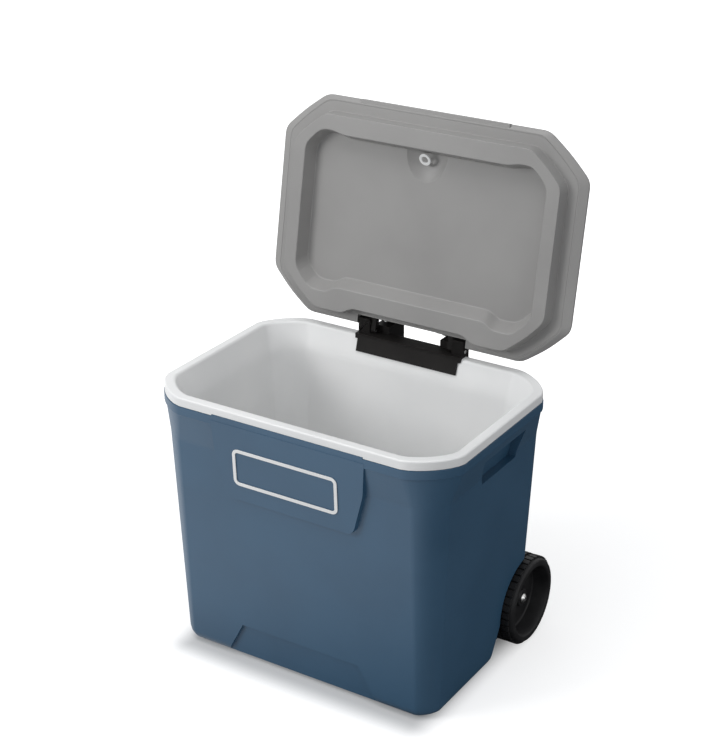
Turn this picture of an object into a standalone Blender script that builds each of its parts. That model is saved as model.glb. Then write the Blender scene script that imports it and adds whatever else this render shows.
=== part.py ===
"""A wheeled cooler: a double-walled body with a hinged lid, a telescoping pull
handle on its back and two wheels on one axle.

Metres, +Z up, the front towards -Y. The origin is on the floor under the
middle of the rim. The lid stands open, resting on its stop."""

import math

import bmesh
import bpy
from mathutils import Matrix, Vector

for leftover in list(bpy.data.objects):
    bpy.data.objects.remove(leftover)

# Fits that all pieces share
gap = 0.0003
running = 0.0005
foam_gap = 0.0006
overrun = 0.012
quarter = math.pi / 2
full_turn = 2 * math.pi

# Corners are chamfers that bulge outwards: 0 is a flat chamfer, 1 a full quarter round
bulge_share = 0.59
corner_steps = 6
round_steps = 3
chamfer_share = 2 - math.sqrt(2)

# Body, measured on its outside
rim_half_width = 0.285
rim_half_depth = 0.198
rim_cut_x = 0.0757
rim_cut_y = 0.0689
body_height = 0.4873
band_height = 0.0153
lip_height = 0.016
flare_height = 0.053
flare_reach_x = 0.017
flare_reach_y = 0.01
crease_half_width = rim_half_width - flare_reach_x
crease_half_depth = rim_half_depth - flare_reach_y
crease_cut_x = 0.049
crease_cut_y = 0.0455
taper_x = 0.0153
taper_y = 0.0215
foot_half_width = crease_half_width - taper_x
foot_half_depth = crease_half_depth - taper_y
foot_cut_x = 0.032
foot_cut_y = 0.034
base_round = 0.022
body_set_back = 0.003
shell_wall = 0.003
band_bottom = body_height - band_height
lip_bottom = band_bottom - lip_height
crease_height = lip_bottom - flare_height

# Liner
liner_wall = 0.0025
rim_width = 0.0185
rim_round = 0.003
seat_depth = 0.03
seat_slope = 0.006
seat_width_x = 0.02
seat_width_y = 0.009
floor_height = 0.06
floor_set_in_x = 0.0487
floor_set_in_y = 0.0445
floor_half_width = foot_half_width - floor_set_in_x
floor_half_depth = foot_half_depth - floor_set_in_y
floor_cut = 0.03
floor_round = 0.008

# Front of the body
panel_top_half = 0.147
panel_crease_half = 0.141
panel_foot_half = 0.121
panel_foot_drop = 0.1593
panel_foot_height = body_height - panel_foot_drop
panel_proud = 0.0095
panel_draft = 0.004
lift_half_width = 0.143
lift_rise = 0.005
lift_depth = 0.007
toe_height = 0.07
toe_top_half = 0.116
toe_foot_half = 0.16
toe_depth = 0.0065

# Badge frame
badge_half_width = 0.1
badge_height = 0.0665
badge_centre_x = -0.005
badge_drop = 0.0973
badge_middle = body_height - badge_drop
badge_line = 0.0058
badge_corner = 0.011
badge_thickness = 0.0016

# Grip pockets under the lip, one in each side
pocket_middle_y = 0.0165
pocket_foot_half = 0.0565
pocket_top_half = 0.0695
pocket_drop = 0.0953
pocket_height = 0.046
pocket_foot_height = body_height - pocket_drop
pocket_top_height = pocket_foot_height + pocket_height
pocket_reach = 0.014
pocket_rise = 0.007

# Wheels and axle
wheel_radius = 0.0797
wheel_width = 0.046
wheel_proud = 0.0057
wheel_face = crease_half_width + wheel_proud
axle_set_in = 0.0189
axle_y = body_set_back + foot_half_depth - axle_set_in
axle_radius = 0.005
tread_depth = 0.004
tread_lugs = 36
lug_gap = 0.0014
shoulder = 0.005
dish_radius = 0.062
dish_depth = 0.03
hub_radius = 0.016
hub_recess = 0.019
disc_thickness = 0.005
well_clearance = 0.0053
well_side_clearance = 0.006
well_toe_reach = 0.1231
well_toe_y = axle_y - well_toe_reach
well_toe_angle = math.radians(187)
well_steps = 12
washer_radius = 0.0105
washer_thickness = 0.0015
nut_radius = 0.0085
nut_thickness = 0.004
axle_height = wheel_radius
slot_half_height = 0.0072
keeper_half_width = 0.012
keeper_flange_half_width = 0.026
keeper_flange_half_height = 0.013
keeper_flange_thickness = 0.003
keeper_screw_spread = 0.019
keeper_clearance = 0.002

# Screws: pan heads with a plain shank
screw_head_radius = 0.0045
screw_head_height = 0.0022
screw_shank_radius = 0.002
screw_shank_length = 0.012
screw_sides = 12

# Lid, measured closed, from the hinge axis
lid_open_angle = math.radians(100.07)
hinge_set_in = 0.005
hinge_y = rim_half_depth - hinge_set_in
hinge_rise = 0.0088
lid_overhang = 0.0038
lid_side_overhang = 0.009
lid_rear_gap = 0.0065
lid_cut_x = 0.081
lid_bulge_share = 0.3
lid_height = 0.032
lid_wall = 0.0028
lid_crown_inset = 0.018
lid_crown_rise = 0.006
lid_crown_share = 0.6
lid_edge_rise = 0.006
lid_edge_height = 0.003
lid_foot_inset = 0.013
lid_front_foot_inset = 0.006
lid_rear_foot_inset = 0.002
pan_wall = 0.0025
pan_joint = 0.0035
plateau_clearance = 0.006
plateau_front_clearance = 0.004
plateau_depth = 0.022
plateau_draft = 0.004
plateau_rear = 0.0205
plateau_step = 0.0115
plateau_step_half_width = 0.118
recess_set_in = 0.052
recess_half_width = rim_half_width - recess_set_in
recess_front = 0.036
recess_rear = 0.0555
recess_cut = 0.031
recess_floor = 0.005
recess_draft = 0.0075
scoop_half_width = 0.04
scoop_depth = 0.009
scoop_length = 0.048
scoop_middle_share = 0.86
scoop_end_share = 0.5
scoop_end_depth_share = 0.1
plug_outer_radius = 0.011
plug_inner_radius = 0.006
plug_thickness = 0.003
plug_middle_x = -0.006
plug_drop = 0.004
plug_tilt = math.radians(25)
plug_seat_radius = 0.0125
plug_seat_depth = 0.006
cup_radius = 0.039
cup_depth = 0.015
cup_from_side = 0.1032
cup_from_front = 0.098
lid_lift_length = 0.143
lid_lift_height = 0.008
lid_lift_proud = 0.0008
notch_half_width = 0.108
notch_depth = 0.017

# Hinge bracket in the rear of the rim
bracket_half_width = 0.105
bracket_skirt_half_width = 0.1
bracket_skirt_drop = 0.0273
bracket_skirt_foot = body_height - bracket_skirt_drop
bracket_skirt_thickness = 0.004
bracket_saddle_drop = 0.006
bracket_back_drop = 0.0473
bracket_back_foot = body_height - bracket_back_drop
bracket_back_thickness = 0.0065
tower_width = 0.023
tower_front = 0.0068
tower_back = 0.0108
tower_height = 0.0204
guide_half_width = 0.0146
guide_wall = 0.0035
guide_rise = 0.003
eye_radius = 0.005
pin_radius = 0.002
pin_head_radius = 0.0032
arm_width = 0.0098
arm_plate_thickness = 0.003
arm_plate_half_width = 0.013
arm_plate_height = 0.014
bracket_screw_spread_x = 0.035
bracket_screw_drop = 0.0263
bracket_screw_height = body_height - bracket_screw_drop

# Pull handle: tubes that lean back as far as the open lid
handle_rake = lid_open_angle - quarter
handle_set_back = 0.0395
handle_y = rim_half_depth + handle_set_back
handle_rise = 0.0127
handle_height = body_height + handle_rise
tube_spread = 0.0655
outer_tube_radius = 0.0115
middle_tube_radius = 0.0088
inner_tube_radius = 0.0062
tube_wall = 0.0012
tube_sides = 18
outer_tube_length = 0.395
collar_height = 0.003
collar_depth = 0.016
grip_height = 0.026
grip_half_depth = 0.0125
grip_end = 0.022
grip_socket_depth = 0.014
groove_clearance = 0.002
groove_top = -0.052
clamp_height = 0.026
clamp_half_width = 0.092
tube_end_drop = 0.007
clamp_foot = handle_height - (outer_tube_length - tube_end_drop) * math.cos(handle_rake)
keeper_middle_x = clamp_half_width + keeper_clearance + keeper_flange_half_width
clamp_screw_x = 0.0385

# Drain, low in the left side
drain_y = -0.055
drain_floor_gap = 0.002
drain_boss_depth = 0.006
drain_bore = 0.009
drain_tube_radius = 0.0115
drain_flange_radius = 0.021
drain_flange_thickness = 0.003
drain_nut_radius = 0.0185
drain_nut_thickness = 0.006
drain_height = floor_height + drain_nut_radius + drain_floor_gap
drain_gasket_thickness = 0.002
drain_spout_radius = 0.0125
drain_spout_length = 0.009
drain_cap_radius = 0.0165
drain_cap_top = 0.0035
drain_cap_flutes = 12
drain_neck_radius = 0.0138
tether_thickness = 0.002
tether_width = 0.0035
post_radius = 0.0022
post_offset = 0.0285
post_length = 0.0145
post_head_radius = 0.0036
post_head_height = 0.0015


def material(name, colour, roughness, metallic=0.0):
    """A Principled material with one colour."""
    made = bpy.data.materials.new(name)
    made.use_nodes = True
    shader = made.node_tree.nodes["Principled BSDF"]
    shader.inputs["Base Color"].default_value = (*colour, 1)
    shader.inputs["Roughness"].default_value = roughness
    shader.inputs["Metallic"].default_value = metallic
    return made


def add_object(name, mesh_builder, finish, smooth_angle=30):
    """Makes an object from a bmesh, shaded smooth up to an angle in degrees."""
    mesh = bpy.data.meshes.new(name)
    bmesh.ops.recalc_face_normals(mesh_builder, faces=mesh_builder.faces)
    mesh_builder.to_mesh(mesh)
    mesh_builder.free()
    mesh.shade_smooth()
    mesh.set_sharp_from_angle(angle=math.radians(smooth_angle))
    mesh.materials.append(finish)
    made = bpy.data.objects.new(name, mesh)
    bpy.context.collection.objects.link(made)
    return made


def lay_loft(builder, rings, closed=False):
    """Joins rings of as many points each with faces, and caps the two ends
    unless the last ring joins the first one again."""
    rows = [[builder.verts.new(point) for point in ring] for ring in rings]
    pairs = list(zip(rows, rows[1:]))
    if closed:
        pairs.append((rows[-1], rows[0]))
    for lower, upper in pairs:
        for index in range(len(lower)):
            after = (index + 1) % len(lower)
            builder.faces.new((lower[index], lower[after], upper[after], upper[index]))
    if not closed:
        builder.faces.new(rows[0])
        builder.faces.new(rows[-1])


def loft(name, rings, finish, closed=False):
    """A solid through rings of points."""
    builder = bmesh.new()
    lay_loft(builder, rings, closed)
    return add_object(name, builder, finish)


def placed(points, place):
    """Points moved by a matrix."""
    return [place @ Vector(point) for point in points]


def block_rings(low, high):
    """The two rings of a box between two corners."""
    corners = ((low[0], low[1]), (high[0], low[1]), (high[0], high[1]), (low[0], high[1]))
    return [[(x, y, z) for x, y in corners] for z in (low[2], high[2])]


def circle(radius, along, sides, start=0.0):
    """A ring of points round Z at a height."""
    turns = [start + full_turn * side / sides for side in range(sides)]
    return [(radius * math.cos(turn), radius * math.sin(turn), along) for turn in turns]


def turned_rings(profile, sides, start=0.0):
    """Rings of a profile of (radius, height) pairs turned round Z."""
    return [circle(radius, along, sides, start) for radius, along in profile]


def hexagon(radius, along, sides):
    """A hexagon round Z as a ring of as many points as a round ring has."""
    sixth = full_turn / 6
    points = []
    for side in range(sides):
        turn = full_turn * side / sides
        reach = radius * math.cos(sixth / 2) / math.cos(turn % sixth - sixth / 2)
        points.append((reach * math.cos(turn), reach * math.sin(turn), along))
    return points


def tube_profile(outer, inner, low, high):
    """The closed profile of a plain tube or ring."""
    return ((outer, low), (outer, high), (inner, high), (inner, low))


def facing(axis, point):
    """The matrix that lays Z along an axis, from a point."""
    return Matrix.Translation(point) @ Vector(axis).to_track_quat("Z", "Y").to_matrix().to_4x4()


def set_of(name, parts, finish):
    """A like piece at each place, left to right, each its own object."""
    words = ("left", "right") if len(parts) == 2 else range(1, len(parts) + 1)
    for word, (rings, closed) in zip(words, parts):
        loft(f"{name}_{word}", rings, finish, closed)


def cutter(made):
    """Marks an object as a tool for cutting or joining, which isn't a piece."""
    made.hide_render = True
    made.display_type = "WIRE"
    return made


def join_or_cut(piece, tool, operation):
    """Adds a Boolean of a tool to a piece."""
    modifier = piece.modifiers.new(operation.lower(), "BOOLEAN")
    modifier.operation = operation
    modifier.solver = "EXACT"
    modifier.object = cutter(tool)


def cut(piece, *tools):
    """Takes tools away from a piece."""
    for tool in tools:
        join_or_cut(piece, tool, "DIFFERENCE")


def join(piece, *tools):
    """Unites tools with a piece."""
    for tool in tools:
        join_or_cut(piece, tool, "UNION")


def bevelled(piece, width, segments=2, angle=50):
    """Rounds the sharp edges of a piece."""
    modifier = piece.modifiers.new("bevel", "BEVEL")
    modifier.width = width
    modifier.segments = segments
    modifier.limit_method = "ANGLE"
    modifier.angle_limit = math.radians(angle)
    return piece


class Section:
    """A level cut through the body or lid: a rectangle with cut corners."""

    def __init__(self, half_x, half_y, cut_x, cut_y, middle_y=0.0, bulge=bulge_share):
        self.bulge = bulge
        self.half_x = half_x
        self.half_y = half_y
        self.cut_x = cut_x
        self.cut_y = cut_y
        self.middle_y = middle_y

    def inset(self, by, by_y=None):
        """The section moved inwards, with its corners following."""
        by_y = by if by_y is None else by_y
        return Section(self.half_x - by, self.half_y - by_y, self.cut_x - chamfer_share * by,
                       self.cut_y - chamfer_share * by_y, self.middle_y, self.bulge)

    def toward(self, other, share):
        """The section part of the way to another one."""
        def between(ours, theirs):
            return ours + (theirs - ours) * share
        return Section(between(self.half_x, other.half_x), between(self.half_y, other.half_y),
                       between(self.cut_x, other.cut_x), between(self.cut_y, other.cut_y),
                       between(self.middle_y, other.middle_y), self.bulge)

    def ring(self, height):
        """The outline at a height, anticlockwise from the right-hand rear corner."""
        points = []
        for side_x, side_y in ((1, 1), (-1, 1), (-1, -1), (1, -1)):
            for step in range(corner_steps + 1):
                turn = step / corner_steps
                if side_x * side_y < 0:
                    turn = 1 - turn
                arc_x = 1 - math.cos(turn * quarter)
                arc_y = 1 - math.sin(turn * quarter)
                share_x = turn + self.bulge * (arc_x - turn)
                share_y = 1 - turn + self.bulge * (arc_y - 1 + turn)
                points.append((side_x * (self.half_x - self.cut_x * share_x),
                               self.middle_y + side_y * (self.half_y - self.cut_y * share_y), height))
        return points

    def front(self):
        """Where the front face lies."""
        return self.middle_y - self.half_y

    def rear(self):
        """Where the rear face lies."""
        return self.middle_y + self.half_y


foot = Section(foot_half_width, foot_half_depth, foot_cut_x, foot_cut_y, body_set_back)
crease = Section(crease_half_width, crease_half_depth, crease_cut_x, crease_cut_y, body_set_back)
rim = Section(rim_half_width, rim_half_depth, rim_cut_x, rim_cut_y)


def wall_at(height):
    """The outer section of the body at a height below the crease."""
    return foot.toward(crease, height / crease_height)


def body_rings(inward, top):
    """The body's outside, or a shape a wall's thickness inside it."""
    turn_radius = base_round - inward
    rings = []
    for step in range(round_steps + 1):
        turn = quarter * step / round_steps
        height = inward + turn_radius * (1 - math.cos(turn))
        rings.append(wall_at(height).inset(inward + turn_radius * (1 - math.sin(turn))).ring(height))
    rings.append(crease.inset(inward).ring(crease_height))
    rings.append(rim.inset(inward).ring(lip_bottom))
    rings.append(rim.inset(inward).ring(top))
    return rings


def panel_face(height):
    """Where the face of the badge panel lies at a height."""
    foot_face = wall_at(panel_foot_height).front() - panel_proud
    crease_face = crease.front() - panel_proud
    if height > crease_height:
        share = (height - crease_height) / (lip_bottom + lip_height / 2 - crease_height)
        return crease_face + (rim.front() - crease_face) * share
    share = (height - panel_foot_height) / (crease_height - panel_foot_height)
    return foot_face + (crease_face - foot_face) * share


def front_panel():
    """The raised badge panel under the lip, flush with it."""
    def ring(height, half):
        face = panel_face(height)
        back = wall_at(panel_foot_height).front() + shell_wall / 2
        return [(-half - panel_draft, back, height), (half + panel_draft, back, height),
                (half, face, height), (-half, face, height)]
    shapes = ((panel_foot_height, panel_foot_half), (crease_height, panel_crease_half),
              (lip_bottom + lip_height / 2, panel_top_half))
    return loft("tool_front_panel", [ring(*shape) for shape in shapes], tool_finish)


def toe_recess(grow):
    """The shallow recess in the foot of the front."""
    def ring(height, half):
        face = wall_at(height).front()
        return [(-half, face - overrun, height), (half, face - overrun, height),
                (half, face + toe_depth + grow, height), (-half, face + toe_depth + grow, height)]
    return loft("tool_toe_recess", [ring(-overrun, toe_foot_half + grow),
                                    ring(toe_height + grow, toe_top_half + grow)], tool_finish)


def lift_bar(grow, name):
    """The rise of the lip at the middle of the front, where fingers lift the lid."""
    low = (-lift_half_width - grow, rim.front() - grow, band_bottom - lip_height / 2)
    high = (lift_half_width + grow, rim.front() + lift_depth + grow, band_bottom + lift_rise + grow - gap)
    return loft(name, block_rings(low, high), tool_finish)


def grip_pocket(side, grow):
    """The pocket for the fingers in one side, which rises inwards."""
    def ring(across, rise):
        low = pocket_foot_height - grow
        high = pocket_top_height + rise + grow
        lean = (pocket_top_half - pocket_foot_half) / (pocket_top_height - pocket_foot_height)
        foot_half = pocket_foot_half + grow
        top_half = foot_half + (high - low) * lean
        middle = pocket_middle_y
        return [(side * across, middle - foot_half, low), (side * across, middle + foot_half, low),
                (side * across, middle + top_half, high), (side * across, middle - top_half, high)]
    inner = crease_half_width - pocket_reach - grow
    outer = rim_half_width + overrun
    return loft("tool_grip_pocket", [ring(inner, pocket_rise), ring(outer, 0)], tool_finish)


def wheel_well(side, grow):
    """The well for a wheel, open to the side, the back and the floor."""
    radius = wheel_radius + well_clearance + grow
    inner = side * (wheel_face - wheel_width - well_side_clearance - grow)
    outer = side * (rim_half_width + overrun)
    outline = [(well_toe_y - grow, -overrun)]
    for step in range(well_steps + 1):
        turn = well_toe_angle * (1 - step / well_steps)
        outline.append((axle_y + radius * math.cos(turn), axle_height + radius * math.sin(turn)))
    outline.append((axle_y + radius, -overrun))
    rings = [[(across, y, z) for y, z in outline] for across in (inner, outer)]
    return loft("tool_wheel_well", rings, tool_finish)


def handle_place(along=0.0, side=0):
    """The matrix of the handle's own frame: Z along its tubes, Y away from the body."""
    lean = Matrix.Rotation(-handle_rake, 4, "X")
    start = Matrix.Translation((side * tube_spread, handle_y, handle_height))
    return start @ lean @ Matrix.Translation((0, 0, along))


def tube_groove(side, grow):
    """The groove in the back that an outer tube lies in."""
    radius = outer_tube_radius + groove_clearance + grow
    half_turns = [math.pi + math.pi * step / (tube_sides / 2) for step in range(int(tube_sides / 2) + 1)]
    outline = [(radius * math.cos(turn), radius * math.sin(turn)) for turn in half_turns]
    reach = outer_tube_length / 2
    outline += [(radius, reach), (-radius, reach)]
    low = -outer_tube_length - gap - grow
    place = handle_place(side=side)
    rings = [placed([(x, y, along) for x, y in outline], place) for along in (low, groove_top)]
    return loft("tool_tube_groove", rings, tool_finish)


def axle_slot(grow):
    """The slot across the back that the axle is laid into."""
    low = (-wheel_face, axle_y - slot_half_height - grow, axle_height - slot_half_height - grow)
    high = (wheel_face, rim_half_depth, axle_height + slot_half_height + grow)
    return loft("tool_axle_slot", block_rings(low, high), tool_finish)


def keeper_seat_y():
    """The flat that the axle keepers are screwed to."""
    return wall_at(axle_height - keeper_flange_half_height).rear() - gap


def clamp_seat_y():
    """The flat that the tube clamp is screwed to."""
    return wall_at(clamp_foot).rear() - gap


def flat_seat(low_x, high_x, low_z, high_z, face_y, name):
    """Cuts a flat upright seat into the back."""
    return loft(name, block_rings((low_x, face_y, low_z), (high_x, rim_half_depth, high_z)), tool_finish)


def back_seats(grow):
    """The flats for the keepers and the clamp."""
    seats = []
    reach = keeper_flange_half_width + gap + grow
    for side in (-1, 1):
        middle = side * keeper_middle_x
        seats.append(flat_seat(middle - reach, middle + reach,
                               axle_height - keeper_flange_half_height - gap - grow,
                               axle_height + keeper_flange_half_height + gap + grow,
                               keeper_seat_y() - grow, "tool_keeper_seat"))
    reach = clamp_half_width + gap + grow
    seats.append(flat_seat(-reach, reach, clamp_foot - gap - grow, clamp_foot + clamp_height + gap + grow,
                           clamp_seat_y() - grow, "tool_clamp_seat"))
    return seats


def drain_seat_x():
    """The upright flat that the drain's gasket presses on."""
    return -wall_at(drain_height - drain_flange_radius).half_x + gap


def drain_inner_x():
    """The upright flat inside that the drain's nut presses on."""
    return -floor_half_width + drain_boss_depth


def drain_boss_end():
    """Where the boss for the nut ends in the liner's sloping wall."""
    rise = drain_height + drain_nut_radius + liner_wall - floor_height
    return -floor_half_width - rise * liner_slope() - liner_wall / 2


def liner_slope():
    """How far the liner's side leans out for each metre of height."""
    height = body_height - seat_depth - seat_slope - floor_height
    return (rim_half_width - rim_width - seat_width_x - floor_half_width) / height


def drain_cylinder(radius, from_x, to_x, name):
    """A round tool along the drain's axis."""
    place = facing((1, 0, 0), (0, drain_y, drain_height))
    rings = [placed(circle(radius, along, tube_sides), place) for along in (from_x, to_x)]
    return loft(name, rings, tool_finish)


def body_features(grow):
    """All that is taken out of the body's walls; grown by the thickness of a wall inside."""
    tools = [grip_pocket(side, grow) for side in (-1, 1)]
    tools += [wheel_well(side, grow) for side in (-1, 1)]
    tools += [tube_groove(side, grow) for side in (-1, 1)]
    tools += back_seats(grow)
    tools += [axle_slot(grow)]
    return tools


def make_outer_shell():
    """The blow-moulded outer shell, open at the top."""
    shell = loft("outer_shell", body_rings(0, band_bottom - gap), blue)
    join(shell, front_panel(), lift_bar(0, "tool_lip_rise"))
    cut(shell, toe_recess(0), *body_features(0))
    hollow = loft("tool_shell_hollow", body_rings(shell_wall, body_height), tool_finish)
    cut(hollow, *body_features(shell_wall))
    cut(hollow, drain_cylinder(drain_flange_radius + shell_wall, -rim_half_width, drain_seat_x() + shell_wall,
                               "tool_drain_wall"))
    cut(hollow, toe_recess(shell_wall))
    cut(shell, hollow)
    cut(shell, drain_cylinder(drain_flange_radius + gap, -rim_half_width, drain_seat_x(), "tool_drain_seat"))
    cut(shell, drain_cylinder(drain_tube_radius + running, -rim_half_width, 0, "tool_drain_hole"))
    return shell


def liner_section(share):
    """The liner's inside between its floor and the seat under the rim."""
    seat = rim.inset(rim_width + seat_width_x, rim_width + seat_width_y)
    floor = Section(floor_half_width, floor_half_depth, floor_cut, floor_cut)
    return floor.toward(seat, share)


def liner_inside(outward, top):
    """The liner's inside, or its outside when moved outwards by its wall."""
    rings = []
    turn_radius = floor_round + outward
    low = floor_height - outward
    seat_height = body_height - seat_depth - seat_slope
    for step in range(round_steps + 1):
        turn = quarter * step / round_steps
        height = low + turn_radius * (1 - math.cos(turn))
        share = max(height - floor_height, 0) / (seat_height - floor_height)
        inward = turn_radius * (1 - math.sin(turn)) - outward
        rings.append(liner_section(share).inset(inward).ring(height))
    rings.append(liner_section(1).inset(-outward).ring(seat_height))
    rings.append(rim.inset(rim_width - outward).ring(body_height - seat_depth))
    rings.append(rim.inset(rim_width - outward).ring(top))
    return rings


def bracket_notch(grow, name):
    """The notch in the rear of the rim that the bracket sits in."""
    low = (-bracket_half_width - grow, rim_half_depth - rim_width - overrun,
           body_height - bracket_saddle_drop - grow)
    high = (bracket_half_width + grow, rim_half_depth + overrun, body_height + overrun)
    return loft(name, block_rings(low, high), tool_finish)


def make_inner_liner():
    """The white liner with the rim band that laps over the shell."""
    rings = liner_inside(liner_wall, band_bottom)
    rings.append(rim.ring(band_bottom))
    rings.append(rim.ring(body_height - rim_round))
    rings.append(rim.inset(rim_round * chamfer_share / 2).ring(body_height - rim_round / 4))
    rings.append(rim.inset(rim_round).ring(body_height))
    inside = liner_inside(0, body_height - rim_round / 2)
    rings.append(rim.inset(rim_width - rim_round / 2).ring(body_height))
    rings += reversed(inside)
    liner = loft("inner_liner", rings, white)
    boss = drain_cylinder(drain_nut_radius + liner_wall, drain_boss_end(), drain_inner_x(), "tool_drain_boss")
    join(liner, boss)
    cut(liner, lift_bar(gap, "tool_lip_rise_clear"), bracket_notch(gap, "tool_bracket_notch"))
    cut(liner, drain_cylinder(drain_tube_radius + running, -rim_half_width, 0, "tool_drain_hole"))
    return liner


def make_foam_core():
    """The foam between shell and liner."""
    foam = loft("foam_core", body_rings(shell_wall + foam_gap, band_bottom - foam_gap), foam_finish)
    void = loft("tool_liner_space", liner_inside(liner_wall + foam_gap, body_height), tool_finish)
    cut(foam, void, *body_features(shell_wall + foam_gap))
    cut(foam, toe_recess(shell_wall + foam_gap))
    cut(foam, drain_cylinder(drain_flange_radius + shell_wall + foam_gap, -rim_half_width,
                             drain_seat_x() + shell_wall + foam_gap, "tool_drain_wall"))
    boss_reach = drain_nut_radius + liner_wall + foam_gap
    cut(foam, drain_cylinder(boss_reach, drain_boss_end() - foam_gap, 0, "tool_drain_boss"))
    cut(foam, drain_cylinder(drain_tube_radius + running, -rim_half_width, 0, "tool_drain_hole"))
    return foam


def make_badge_frame():
    """The rounded frame on the badge panel, bare inside."""
    badge_foot = badge_middle - badge_height / 2
    lean = math.atan2(panel_face(badge_foot) - panel_face(badge_foot + badge_height), badge_height)
    face = Matrix.Translation((badge_centre_x, panel_face(badge_middle) - gap, badge_middle))
    place = face @ Matrix.Rotation(lean, 4, "X") @ Matrix.Rotation(quarter, 4, "X")

    def ring(inward, proud):
        points = []
        radius = badge_corner - inward
        for corner, (side_x, side_y) in enumerate(((1, 1), (-1, 1), (-1, -1), (1, -1))):
            for step in range(round_steps + 1):
                turn = quarter * (corner + step / round_steps)
                x = side_x * (badge_half_width - badge_corner) + radius * math.cos(turn)
                y = side_y * (badge_height / 2 - badge_corner) + radius * math.sin(turn)
                points.append((x, y, proud))
        return placed(points, place)
    rings = [ring(0, 0), ring(0, badge_thickness), ring(badge_line, badge_thickness), ring(badge_line, 0)]
    return loft("badge_frame", rings, white, closed=True)


hinge_height = body_height + hinge_rise
flange_height = body_height + gap
ledge_height = hinge_height - eye_radius - gap
tower_inner = bracket_half_width - tower_width
arm_outer = tower_inner - running
lid_rear = hinge_y - lid_rear_gap
lid_front = rim.front() - lid_overhang
lid_outline = Section(rim_half_width + lid_side_overhang, (lid_rear - lid_front) / 2, lid_cut_x,
                      rim_cut_y, (lid_rear + lid_front) / 2, lid_bulge_share)
lid_foot_front = lid_front + lid_front_foot_inset
lid_foot_rear = lid_rear - lid_rear_foot_inset
lid_foot = Section(lid_outline.half_x - lid_foot_inset, (lid_foot_rear - lid_foot_front) / 2,
                   lid_cut_x - chamfer_share * lid_foot_inset,
                   rim_cut_y - chamfer_share * lid_front_foot_inset,
                   (lid_foot_rear + lid_foot_front) / 2, lid_bulge_share)
plateau_front = rim.inset(rim_width).front() + plateau_front_clearance
plateau_back = hinge_y - plateau_rear - plateau_step
plateau = Section(rim.inset(rim_width).half_x - plateau_clearance, (plateau_back - plateau_front) / 2,
                  rim.inset(rim_width + plateau_clearance).cut_x,
                  rim.inset(rim_width + plateau_clearance).cut_y, (plateau_back + plateau_front) / 2,
                  lid_bulge_share)
recess_front_y = plateau_front + recess_front
recess_back_y = hinge_y - recess_rear
recess = Section(recess_half_width, (recess_back_y - recess_front_y) / 2, recess_cut, recess_cut,
                 (recess_back_y + recess_front_y) / 2, lid_bulge_share)
notch_face = lid_rear - notch_depth


def lid_cover_rings(inward):
    """The lid's outside from its foot over its edge to its top, or a shape inside it."""
    top = flange_height + lid_height - inward
    return [lid_foot.inset(inward).ring(flange_height + inward / 2),
            lid_outline.inset(inward).ring(flange_height + lid_edge_rise + inward / 2),
            lid_outline.inset(inward).ring(flange_height + lid_edge_rise + lid_edge_height),
            lid_outline.inset(inward + lid_crown_inset * lid_crown_share).ring(top - lid_crown_rise),
            lid_outline.inset(inward + lid_crown_inset).ring(top)]


def lid_notch(grow, name):
    """The notch in the lid's rear that clears the bracket."""
    low = (-notch_half_width - grow, notch_face - grow, flange_height - overrun)
    high = (notch_half_width + grow, lid_rear + overrun, flange_height + lid_height + overrun)
    return loft(name, block_rings(low, high), tool_finish)


def cup_places():
    """The middles of the drinks holders."""
    across = lid_outline.half_x - cup_from_side
    along = lid_outline.half_y - cup_from_front
    return [(side_x * across, lid_outline.middle_y + side_y * along)
            for side_x in (-1, 1) for side_y in (-1, 1)]


def cup_tools(grow):
    """The drinks holders in the lid's top."""
    tools = []
    floor = flange_height + lid_height - cup_depth - grow
    for x, y in cup_places():
        place = Matrix.Translation((x, y, 0))
        profile = ((cup_radius + grow - lid_wall, floor), (cup_radius + grow, floor + lid_wall),
                   (cup_radius + grow, flange_height + lid_height + overrun))
        rings = [placed(ring, place) for ring in turned_rings(profile, 2 * tube_sides)]
        tools.append(loft("tool_drinks_holder", rings, tool_finish))
    return tools


def scoop(grow, name):
    """The half-cone in the recess floor in front of the foam filling hole. A grown one
    starts inside the floor's sheet, so its wall ends flush with the floor."""
    floor = flange_height + recess_floor
    front = recess.inset(recess_draft).front() - grow
    base = pan_wall / 2 if grow else 0

    def ring(y, share, depth_share):
        half = scoop_half_width * share + grow
        rise = scoop_depth * depth_share + grow - base
        points = []
        for step in range(corner_steps * 2 + 1):
            turn = math.pi * step / (corner_steps * 2)
            points.append((plug_middle_x + half * math.cos(turn), y, floor + base + rise * math.sin(turn)))
        if not grow:
            points += [(points[-1][0], y, floor - pan_joint), (points[0][0], y, floor - pan_joint)]
        return points
    return loft(name, [ring(front, 1, 1),
                       ring(front + scoop_length / 2, scoop_middle_share, scoop_middle_share / 2),
                       ring(front + scoop_length + grow, scoop_end_share, scoop_end_depth_share)],
                tool_finish)


def plug_place(rise):
    """The fill plug's seat, tilted towards the scoop, or a plane above it."""
    direction = Vector((0, math.sin(plug_tilt), -math.cos(plug_tilt)))
    middle = Vector((plug_middle_x, recess.inset(recess_draft).front() + plug_outer_radius,
                     flange_height + recess_floor - plug_drop))
    return facing(direction, middle + direction * rise)


def screw(place, length=screw_shank_length):
    """One pan-head screw as a closed turned solid. Its head stands on the plane at the place."""
    profile = ((screw_shank_radius, -length), (screw_shank_radius, 0), (screw_head_radius, 0),
               (screw_head_radius, screw_head_height / 2), (screw_head_radius / 2, screw_head_height))
    return [placed(ring, place) for ring in turned_rings(profile, screw_sides)], False


def screw_hole(place, length=screw_shank_length):
    """The hole that a screw's shank needs."""
    rings = turned_rings(((screw_shank_radius + gap, -length - gap), (screw_shank_radius + gap, overrun)),
                         screw_sides)
    return loft("tool_screw_hole", [placed(ring, place) for ring in rings], tool_finish)


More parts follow.
